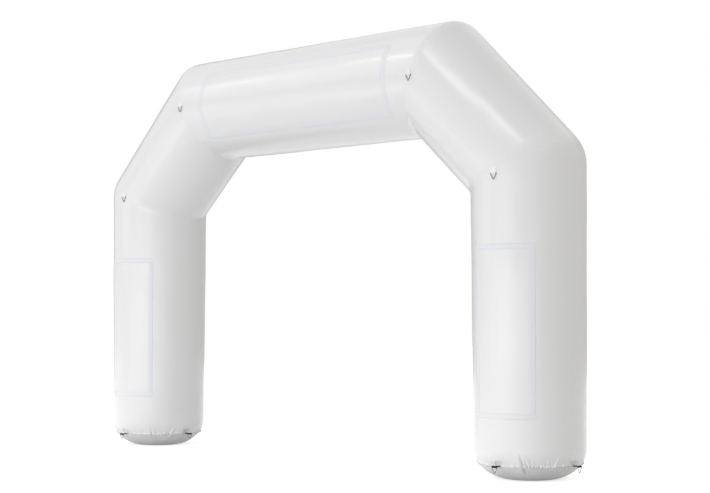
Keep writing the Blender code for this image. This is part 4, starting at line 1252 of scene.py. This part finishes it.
def add_band(sheet, tree, shoot, along, across_of):
    """Sweep the tape's section along the skin. shoot(u, v) gives a ray; along lists u, and
    across_of turns a distance from the tape's edge into v."""
    section = list(TAPE_SECTION)
    section += [(LOOP_TAPE_WIDTH - x, h) for x, h in reversed(TAPE_SECTION[:-1])]
    rows = np.array([[lay(tree, *shoot(u, across_of(x)), GAP / 3 + h * LOOP_TAPE)
                      for x, h in section] for u in along])
    ids = sheet.add(rows)
    count = len(section)
    middle = len(TAPE_SECTION) - 1
    closed = np.concatenate([ids, ids[:, :1]], axis=1)
    u = np.broadcast_to(path_lengths(rows[:, middle])[:, None], closed.shape)
    v = np.broadcast_to(np.array([x for x, _ in section] + [0.0])[None], closed.shape)
    sheet.quads(closed, u, v)
    for row, step in ((0, -1), (len(rows) - 1, 1)):
        order = range(count)[::step]
        sheet.face(ids[row][::step], [(u[row][k], v[row][k]) for k in order])


def spaced(start, end, step):
    count = max(int(math.ceil(abs(end - start) / step)), 1)
    return [start + (end - start) * k / count for k in range(count + 1)]


def build_loop_frame(name, skin, shoot_along, low, high, start, end, turn):
    """Four bands in a rectangle. shoot_along(h, a) is a ray at a place along the tube and an
    angle round it; turn is radians for each metre round the tube."""
    tree = skin_tree(skin)
    sheet = Sheet()
    inset = LOOP_TAPE_WIDTH + TAPE_JOINT
    for edge, inward in ((low, 1), (high, -1)):
        add_band(sheet, tree, shoot_along, spaced(start + inset, end - inset, TAPE_STEP),
                 lambda x, e=edge, s=inward: e + s * x * turn)
    for edge, inward in ((start, 1), (end, -1)):
        add_band(sheet, tree, lambda u, v: shoot_along(v, u),
                 spaced(low, high, TAPE_ARC_STEP * turn), lambda x, e=edge, s=inward: e + s * x)
    closed_piece(name + "_tape", sheet, "loop_tape_white", name)


def build_loop_frames():
    for face, flip in (("front", 1), ("back", -1)):
        for side, sign in SIDES:
            def leg_ray(height, azimuth, x=sign * LEG_X, s=flip):
                out = Vector((math.sin(azimuth) * s, -math.cos(azimuth) * s, 0))
                return Vector((x, 0, height)) + out, -out
            low, high = (math.radians(a) for a in LEG_FRAME_ANGLES)
            build_loop_frame(f"{side}_leg_{face}_loop_frame", side + "_leg_fabric", leg_ray,
                             low, high, LEG_FRAME_BOTTOM, LEG_FRAME_BOTTOM + LEG_FRAME_HEIGHT,
                             1 / LEG_TOP_RADIUS)

        def beam_ray(x, climb, s=flip):
            out = Vector((0, -math.cos(climb) * s, math.sin(climb)))
            return Vector((x, 0, BEAM_HEIGHT)) + out, -out
        low, high = (math.radians(a) for a in BEAM_FRAME_ANGLES)
        build_loop_frame(f"crossbeam_{face}_loop_frame", "crossbeam_fabric", beam_ray, low, high,
                         -BEAM_FRAME_HALF_LENGTH, BEAM_FRAME_HALF_LENGTH, 1 / BEAM_RADIUS)


# ---------------------------------------------------------------- webbing and rings
def from_ring_axis(points, place, azimuth):
    """From a ring's own axes (x along the bar, -y off the skin, z up) to the arch."""
    points = np.asarray(points, float)
    c, s = math.cos(azimuth), math.sin(azimuth)
    x = points[..., 0] * c - points[..., 1] * s
    y = points[..., 0] * s + points[..., 1] * c
    return np.stack([x, y, points[..., 2]], -1) + np.array(place)


def arc_points(radius, start, end, steps):
    return [(radius * math.cos(start + (end - start) * k / steps),
             radius * math.sin(start + (end - start) * k / steps)) for k in range(steps + 1)]


SELVEDGE = 0.0006
SELVEDGE_SHARE, MIDDLE_SHARE = 0.55, 0.94      # of a ply's thickness


def webbing_rows():
    """Places across the webbing, closer together at its two selvedges."""
    half = WEBBING_WIDTH / 2
    inner = [half * k / 8 for k in range(-7, 8)]
    return [-half, -half + SELVEDGE] + inner + [half - SELVEDGE, half]


def folded_strip(centre_line, thickness):
    """Closed side view of a strip of webbing, from the middle line of its ply and its
    thickness at each point."""
    line = np.array(centre_line, float)
    tangents = unit(np.gradient(line, axis=0))
    normals = np.stack([-tangents[:, 1], tangents[:, 0]], -1)
    half = np.array(thickness)[:, None] / 2
    return np.concatenate([line + normals * half, (line - normals * half)[::-1]])


def add_strip(sheet, line, thickness, move):
    """Add a strip of webbing with slightly thinner selvedges. move(x, y, z) puts a point of
    the strip's side view (y, z) at x across the strip into the ring's axes."""
    rows = []
    half = WEBBING_WIDTH / 2
    for x in webbing_rows():
        share = SELVEDGE_SHARE if abs(x) > half - SELVEDGE / 2 else MIDDLE_SHARE
        outline = folded_strip(line, np.array(thickness) * share)
        rows.append([move(x, y, z) for y, z in outline])
    rows = np.array(rows)
    ids = sheet.add(rows)
    count = len(line)
    run = path_lengths(np.array(line))
    run = np.concatenate([run, run[::-1]])
    across = np.array(webbing_rows()) + half
    closed = np.concatenate([ids, ids[:, :1]], axis=1)
    u = np.broadcast_to(np.concatenate([run, run[:1]])[None], closed.shape)
    v = np.broadcast_to(across[:, None], closed.shape)
    sheet.quads(closed, u, v)
    for row in (0, len(rows) - 1):
        for k in range(count - 1):
            far = 2 * count - 1 - k
            sheet.face((ids[row][k], ids[row][k + 1], ids[row][far - 1], ids[row][far]),
                       [(u[row][k], v[row][k])] * 4)


STITCH_INSET = 0.005               # from the webbing's edge to its stitches


def add_stitches(sheet, spots, move):
    """Small raised stitches. Each spot is (x, z, angle), on a face given by move."""
    length, width, height = 0.0016, 0.00035, 0.00035
    for x, z, angle in spots:
        c, s = math.cos(angle), math.sin(angle)
        corners = []
        for a, b, lift in ((-length, 0, 0), (0, -width, 0), (length, 0, 0), (0, width, 0),
                           (-length * 0.45, 0, height), (length * 0.45, 0, height)):
            corners.append(move(x + a * c - b * s, z + a * s + b * c, lift))
        ids = sheet.add(np.array(corners))
        for f in ((0, 1, 4), (1, 5, 4), (1, 2, 5), (2, 3, 5), (3, 4, 5), (3, 0, 4), (0, 3, 2, 1)):
            sheet.face([ids[k] for k in f], [(x, z)] * len(f))


def stitch_line(start, end, pitch=0.0040):
    start, end = np.array(start), np.array(end)
    length = np.linalg.norm(end - start)
    count = max(int(length / pitch), 1)
    angle = math.atan2(end[1] - start[1], end[0] - start[0])
    return [(*(start + (end - start) * (k + 0.5) / count), angle) for k in range(count)]


def box_stitch(low, high, half):
    """A stitched box with a cross in it."""
    corners = [(-half, low), (half, low), (half, high), (-half, high)]
    lines = [(corners[k], corners[(k + 1) % 4]) for k in range(4)]
    lines += [(corners[0], corners[2]), (corners[1], corners[3])]
    return [spot for a, b in lines for spot in stitch_line(a, b)]


PATCH_MIDDLE = 0.012               # height of a patch's middle above the bar of its ring
PATCH_SPOKES = 64


def build_ring_patch(name, place, azimuth, trim):
    """A round patch that is welded over the mitre, behind the webbing of a corner ring."""
    side = name.split("_")[0]
    tree = skin_tree(f"{side}_leg_fabric", f"{side}_shoulder_fabric", "crossbeam_fabric")
    facing = -1 if azimuth == 0.0 else 1
    edge = trim.patch_radius
    rings = []
    for radius, share in ((0.0015, 1.0), (0.016, 1.0), (0.030, 1.0), (0.044, 1.0), (0.052, 1.0),
                          (edge - 0.0016, 1.0), (edge - 0.0005, 0.8), (edge, 0.15)):
        ring = []
        for k in range(PATCH_SPOKES):
            turn = 2 * math.pi * k / PATCH_SPOKES
            x, z = radius * math.cos(turn), PATCH_MIDDLE + radius * math.sin(turn)
            start = (place[0] + x * math.cos(azimuth), facing, place[2] + z)
            ring.append(lay(tree, start, (0, -facing, 0), share * trim.patch_thickness))
        rings.append(ring)
    rings = np.array(rings)
    sheet = Sheet()
    ids = sheet.add(rings)
    sheet.quads(ids, *strip_map(rings), wrap=True)
    sheet.face(ids[0][::-1], [(0.0, 0.0)] * PATCH_SPOKES)
    patch = sheet.mesh(name + "_patch")
    if patch.polygons[len(patch.polygons) // 2].normal.y * facing < 0:
        patch.flip_normals()
    thicken(piece(name + "_patch", patch, "coated_fabric_white"),
            trim.patch_thickness * 0.7)


def build_corner_tab(name, place, azimuth, radius):
    """White webbing folded through the ring and stitched flat on its patch. The skin that it
    lies on has the given radius."""
    webbing = Sheet()
    mid = EYE_INNER + WEBBING_PLY / 2
    front = mid - WEBBING_PLY
    sweep = 2 * math.pi - math.acos(front / mid)
    rise = spaced(0.006, TAB_LAP, 0.006)
    line = [(mid, z) for z in reversed(rise)] + arc_points(mid, 0.0, -sweep, 14)
    line += [(front, z) for z in rise]

    def bend(x, y, z):
        """Up the lap the strip follows the skin's curve; at the bar it is straight."""
        follow = float(smoothstep(0.0, 0.02, z)) if z > 0 else 0.0
        sag = (radius - math.sqrt(radius * radius - x * x)) * follow
        return (x, y + sag, z)
    add_strip(webbing, line, [WEBBING_PLY] * len(line), bend)

    def stitch_place(x, z, lift):
        return (x, bend(x, front - WEBBING_PLY / 2 - lift, z)[1], z)
    spots = box_stitch(0.016, TAB_LAP - 0.006, WEBBING_WIDTH / 2 - STITCH_INSET)
    add_stitches(webbing, spots, stitch_place)
    webbing.points = [from_ring_axis(p, place, azimuth) for p in webbing.points]
    closed_piece(name + "_webbing", webbing, "woven_webbing_white", name + "_tab")


def build_foot_tab(name, place, azimuth):
    """Black webbing folded over the weld and rolled round the bar of the ring."""
    sheet = Sheet()
    mid = EYE_INNER + WEBBING_PLY / 2
    half_ply = WEBBING_PLY / 2
    fork = FIN_THICKNESS / 2 + GAP + half_ply
    root = FOOT_RING_RADIUS - FIN_INNER
    crotch = FOOT_RING_RADIUS - FIN_OUTER
    slope = crotch - fork
    meet = math.asin(half_ply / mid)
    turns = np.linspace(meet, 2 * math.pi - meet, 25)
    rolled = smoothstep(0.0, 0.6, np.minimum(turns - meet, 2 * math.pi - meet - turns))
    layers = WEBBING_PLY + (FOOT_EYE_THICKNESS - WEBBING_PLY) * rolled
    eye = [((EYE_INNER + t / 2) * math.cos(a), (EYE_INNER + t / 2) * math.sin(a))
           for a, t in zip(turns, layers)]
    upper = [(root, fork), (root - 0.006, fork), (crotch, fork), (slope, half_ply)]
    upper += [(y, half_ply) for y in spaced(slope - 0.004, mid + 0.004, 0.006)]
    lower = [(y, -z) for y, z in reversed(upper)]
    line = upper + eye + lower
    thickness = [WEBBING_PLY] * len(upper) + list(layers) + [WEBBING_PLY] * len(lower)
    add_strip(sheet, line, thickness, lambda x, y, z: (x, y, z))
    spots = box_stitch(mid + 0.012, slope - 0.002, WEBBING_WIDTH / 2 - STITCH_INSET)
    for facing in (1, -1):
        add_stitches(sheet, spots,
                     lambda x, y, lift, s=facing: (x, y, s * (WEBBING_PLY * 0.97 + lift)))
    sheet.points = [from_ring_axis(p, place, azimuth) for p in sheet.points]
    closed_piece(name + "_webbing", sheet, "woven_webbing_black", name + "_tab")


def ring_path():
    """Middle line of a triangle ring: a straight bar on top and two arms to a rounded tip."""
    half_bar = WEBBING_WIDTH / 2 + RING_SIDE_CLEARANCE
    shoulder = Vector((half_bar, -RING_BEND))
    tip = Vector((0.0, RING_BEND - RING_HEIGHT))
    arm = tip - shoulder
    end_angle = math.atan2(arm.y, arm.x) + math.pi / 2
    right = [Vector((half_bar * k / 6, 0.0)) for k in range(6)]
    for k in range(10):
        angle = math.pi / 2 + (end_angle - math.pi / 2) * k / 9
        right.append(shoulder + RING_BEND * Vector((math.cos(angle), math.sin(angle))))
    first = right[-1]
    last = tip + RING_BEND * Vector((math.cos(end_angle), math.sin(end_angle)))
    right += [first.lerp(last, k / 6) for k in range(1, 6)]
    for k in range(9):
        angle = end_angle + (-math.pi / 2 - end_angle) * k / 8
        right.append(tip + RING_BEND * Vector((math.cos(angle), math.sin(angle))))
    left = [Vector((-p.x, p.y)) for p in reversed(right[1:-1])]
    return right + left


def build_ring(name, place, azimuth):
    """Welded wire ring. The butt weld is a small bead on one arm."""
    path = [np.array((p.x, 0.0, p.y)) for p in ring_path()]
    count, sides = len(path), 18
    weld, bead = 20, 0.07          # where the weld is on the path, and how much thicker
    across = np.array((0.0, 1.0, 0.0))
    rows = []
    for k in range(count):
        tangent = path[(k + 1) % count] - path[k - 1]
        tangent /= np.linalg.norm(tangent)
        side = np.cross(tangent, across)
        radius = RING_WIRE / 2 * (1 + bead * math.exp(-((k - weld) / 0.8) ** 2))
        rows.append([path[k] + radius * (math.cos(2 * math.pi * i / sides) * side
                                         + math.sin(2 * math.pi * i / sides) * across)
                     for i in range(sides)])
    rows = from_ring_axis(rows, place, azimuth)
    u, v = strip_map(rows)
    sheet = Sheet()
    ids = sheet.add(rows)
    sheet.quads(np.concatenate([ids, ids[:1]]), np.concatenate([u, u[:1]]),
                np.concatenate([v, v[-1:] + 0.004]), wrap=True)
    closed_piece(name + "_wire", sheet, "ring_plating", name, body=name)


# ---------------------------------------------------------------- stage
def area_light(name, azimuth, elevation, distance, size, radiance, target, turn=0):
    """A rectangular lamp that faces its target and is turned about its own beam."""
    light = bpy.data.lights.new(name, "AREA")
    light.shape = "RECTANGLE"
    light.size, light.size_y = size
    light.energy = radiance * math.pi * size[0] * size[1]
    obj = bpy.data.objects.new(name, light)
    bpy.context.scene.collection.objects.link(obj)
    side, climb = math.radians(azimuth), math.radians(elevation)
    away = Vector((math.sin(side) * math.cos(climb), -math.cos(side) * math.cos(climb),
                   math.sin(climb)))
    obj.location = Vector(target) + away * distance
    facing = (-away).to_track_quat("-Z", "Y") @ Quaternion((0.0, 0.0, 1.0), math.radians(turn))
    obj.rotation_euler = facing.to_euler()
    obj.visible_camera = False
    return obj


def looked_at(graph):
    """1 for the rays that show a surface or mirror it, 0 for those that only gather light."""
    path = graph.add("ShaderNodeLightPath").outputs
    mirrored = graph.math("MAXIMUM", path["Is Glossy Ray"], path["Is Transmission Ray"])
    return graph.math("MAXIMUM", path["Is Camera Ray"], mirrored)


def build_world(ambient):
    world = bpy.data.worlds.new("studio")
    bpy.context.scene.world = world
    world.use_nodes = True
    graph = Graph(world.node_tree)
    strength = graph.plus(graph.times(looked_at(graph), 1 - ambient), ambient)
    background = world.node_tree.nodes["Background"]
    background.inputs["Color"].default_value = WHITE
    graph.feed(strength, background.inputs["Strength"])


def stage_mesh(name, rows, material):
    """A sheet of the stage, from a grid of points."""
    rows = np.array(rows)
    sheet = Sheet()
    sheet.quads(sheet.add(rows), rows[..., 0], rows[..., 1])
    mesh = sheet.mesh(name)
    mesh.materials.append(material)
    obj = bpy.data.objects.new(name, mesh)
    bpy.context.scene.collection.objects.link(obj)
    return obj


def build_floor(settings):
    finish = Finish("studio_floor", Roughness=0.9, Specular_IOR_Level=0.0)
    graph = finish.graph
    cloud = graph.ramp(graph.noise(finish.place, 0.8, 3.0), 0.2, 0.8)
    cloudy = tuple(0.985 * c for c in settings.floor_colour)
    graph.feed(graph.mix(cloud, colour(settings.floor_colour), colour(cloudy)),
               finish.shader.inputs["Base Color"])
    seen = looked_at(graph)
    shade = graph.add("ShaderNodeAmbientOcclusion", samples=8)
    shade.inputs["Distance"].default_value = settings.shade_reach
    glow = graph.add("ShaderNodeEmission")
    glow.inputs["Color"].default_value = WHITE
    in_view = graph.add("ShaderNodeLightPath").outputs["Is Camera Ray"]
    darkest = graph.ramp(in_view, 0.0, 1.0, 1 - settings.shade_depth,
                         1 - settings.camera_shade_depth)
    lost = graph.times(graph.minus(1.0, darkest),
                      graph.minus(1.0, shade.outputs["AO"]))
    clear = graph.minus(1.0, lost)
    graph.feed(graph.times(graph.times(seen, settings.floor_glow), clear),
               glow.inputs["Strength"])
    both = graph.add("ShaderNodeAddShader")
    graph.feed(finish.shader.outputs[0], both.inputs[0])
    graph.feed(glow.outputs[0], both.inputs[1])
    output = finish.material.node_tree.nodes["Material Output"]
    graph.feed(both.outputs[0], output.inputs["Surface"])
    half = settings.floor_size / 2
    steps = np.linspace(-half, half, 9)
    stage_mesh("studio_floor", [[(x, y, 0.0) for x in steps] for y in steps], finish.done())


def build_board(name, start, end, level):
    """A curved grey board beside or behind the camera's view, from one azimuth to another,
    that keeps the fabric's rims from mirroring a white room."""
    finish = Finish(name, Roughness=0.9, Specular_IOR_Level=0.0)
    finish.feed(BLACK, "Base Color")
    finish.feed(BOARD_COLOUR, "Emission Color")
    finish.feed(level, "Emission Strength")
    turns = [math.radians(a) for a in np.linspace(start, end, 9)]
    rows = [[(BOARD_DISTANCE * math.sin(t), -BOARD_DISTANCE * math.cos(t), z) for t in turns]
            for z in (BOARD_FOOT, BOARD_HEIGHT)]
    board = stage_mesh(name, rows, finish.done())
    board.visible_camera = False


def build_camera():
    data = bpy.data.cameras.new("camera")
    data.lens = CAMERA_LENS
    data.sensor_width = 36.0
    data.clip_end = CAMERA_REACH
    camera = bpy.data.objects.new("camera", data)
    bpy.context.scene.collection.objects.link(camera)
    camera.location = CAMERA_PLACE
    camera.rotation_euler = (math.pi / 2 + CAMERA_CLIMB, 0.0, CAMERA_TURN)
    bpy.context.scene.camera = camera


# ---------------------------------------------------------------- operators
class ARCH_OT_finishes(bpy.types.Operator):
    """Make the shader groups and every material of the arch"""
    bl_idname = "arch.finishes"
    bl_label = "Finishes"

    def execute(self, context):
        build_finishes(context.scene)
        return {"FINISHED"}


class ARCH_OT_skins(bpy.types.Operator):
    """Sew the five air tubes and the tapes inside their mitres"""
    bl_idname = "arch.skins"
    bl_label = "Air tubes"

    def execute(self, context):
        settings = context.scene.arch_fabric
        folds = Folds(settings)
        tubes = arch_tubes()
        build_tube_skin("crossbeam", tubes["crossbeam"], ("left_beam", "right_beam"), folds)
        for side, sign in SIDES:
            leg, shoulder = tubes[side + "_leg"], tubes[side + "_shoulder"]
            build_leg_skin(side, sign, leg, folds, Gathers(side, settings))
            build_tube_skin(side + "_shoulder", shoulder, (side + "_leg", side + "_beam"), folds)
            build_seam_tape(side + "_leg_seam_tape", leg, shoulder, False)
            build_seam_tape(side + "_beam_seam_tape", shoulder, tubes["crossbeam"], sign > 0)
        return {"FINISHED"}


class ARCH_OT_feet(bpy.types.Operator):
    """Sew the gathered foot caps and the welded flange round each of them"""
    bl_idname = "arch.feet"
    bl_label = "Feet"

    def execute(self, context):
        for side, sign in SIDES:
            gathers = Gathers(side, context.scene.arch_fabric)
            build_foot_cap(side, sign, gathers)
            build_foot_fin(side, sign, gathers)
        return {"FINISHED"}


class ARCH_OT_loop_frames(bpy.types.Operator):
    """Lay the loop-tape frames for banners on the skins"""
    bl_idname = "arch.loop_frames"
    bl_label = "Loop-tape frames"

    def execute(self, context):
        build_loop_frames()
        return {"FINISHED"}


class ARCH_OT_corner_rings(bpy.types.Operator):
    """Fit a patch, a white tab and a ring to each mitre, front and back"""
    bl_idname = "arch.corner_rings"
    bl_label = "Corner rings"

    def execute(self, context):
        for name, (place, azimuth) in ring_places().items():
            radius = LEG_TOP_RADIUS if "_leg_" in name else BEAM_RADIUS
            build_ring_patch(name, place, azimuth, context.scene.arch_trim)
            build_corner_tab(name, place, azimuth, radius)
            build_ring(name + "_ring", place, azimuth)
        return {"FINISHED"}


class ARCH_OT_foot_rings(bpy.types.Operator):
    """Fit a black tab and a ring at the four sides of each foot"""
    bl_idname = "arch.foot_rings"
    bl_label = "Foot rings"

    def execute(self, context):
        for name, (place, azimuth) in foot_ring_places().items():
            build_foot_tab(name, place, azimuth)
            build_ring(name + "_ring", place, azimuth)
        return {"FINISHED"}


VALVE_FINISHES = {
    "valve_plastic_grey": ("inflation_valve_body", "inflation_valve_nut", "relief_valve_body",
                           "relief_valve_cover"),
    "valve_plastic_black": ("inflation_valve_plunger", "inflation_valve_cap",
                            "relief_valve_poppet"),
    "spring_wire": ("inflation_valve_spring", "relief_valve_spring"),
}
VALVE_EDGE = 0.0003


class ARCH_OT_valves(bpy.types.Operator):
    """Give the two valves their plastics and steel, and soften their edges"""
    bl_idname = "arch.valves"
    bl_label = "Valves"

    def execute(self, context):
        for finish, names in VALVE_FINISHES.items():
            for name in names:
                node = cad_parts[name]
                node.data.materials.clear()
                node.data.materials.append(bpy.data.materials[finish])
                edges = node.modifiers.new("Edges", "BEVEL")
                edges.width = VALVE_EDGE
                edges.segments = 2
                edges.limit_method = "ANGLE"
                edges.angle_limit = math.radians(40)
                edges.harden_normals = False
        return {"FINISHED"}


class ARCH_OT_stage(bpy.types.Operator):
    """Set up the pale floor, the studio light and the camera"""
    bl_idname = "arch.stage"
    bl_label = "Stage"

    def execute(self, context):
        settings = context.scene.arch_stage
        build_floor(settings)
        build_world(settings.ambient)
        for board in BOARDS:
            build_board(*board)
        for soft_box in SOFT_BOXES:
            area_light(*soft_box)
        for fill_box in FILL_BOXES:
            area_light(*fill_box).visible_glossy = False
        for streak_box in STREAK_BOXES:
            area_light(*streak_box).visible_diffuse = False
        build_camera()
        context.scene.view_settings.view_transform = "Standard"
        return {"FINISHED"}


class ARCH_PT_panel(bpy.types.Panel):
    """Sidebar panel that lists the steps and their settings"""
    bl_idname = "ARCH_PT_panel"
    bl_label = "Inflatable Arch"
    bl_space_type = "VIEW_3D"
    bl_region_type = "UI"
    bl_category = "Inflatable Arch"

    def draw(self, context):
        layout = self.layout
        for name, group in SETTINGS:
            box = layout.box()
            for label in group.__annotations__:
                box.prop(getattr(context.scene, name), label)
        for operator in OPERATORS:
            layout.operator(operator.bl_idname)


OPERATORS = (ARCH_OT_finishes, ARCH_OT_skins, ARCH_OT_feet, ARCH_OT_loop_frames,
             ARCH_OT_corner_rings, ARCH_OT_foot_rings, ARCH_OT_valves, ARCH_OT_stage)
SETTINGS = (("arch_fabric", ArchFabricSettings), ("arch_trim", ArchTrimSettings),
            ("arch_stage", ArchStageSettings))


def register():
    for name, group in SETTINGS:
        bpy.utils.register_class(group)
        setattr(bpy.types.Scene, name, PointerProperty(type=group))
    for operator in OPERATORS:
        bpy.utils.register_class(operator)
    bpy.utils.register_class(ARCH_PT_panel)


def unregister():
    bpy.utils.unregister_class(ARCH_PT_panel)
    for operator in reversed(OPERATORS):
        bpy.utils.unregister_class(operator)
    for name, group in reversed(SETTINGS):
        delattr(bpy.types.Scene, name)
        bpy.utils.unregister_class(group)


def main():
    register()
    for operator in OPERATORS:
        family, step = operator.bl_idname.split(".")
        getattr(getattr(bpy.ops, family), step)()


if __name__ == "__main__":
    main()
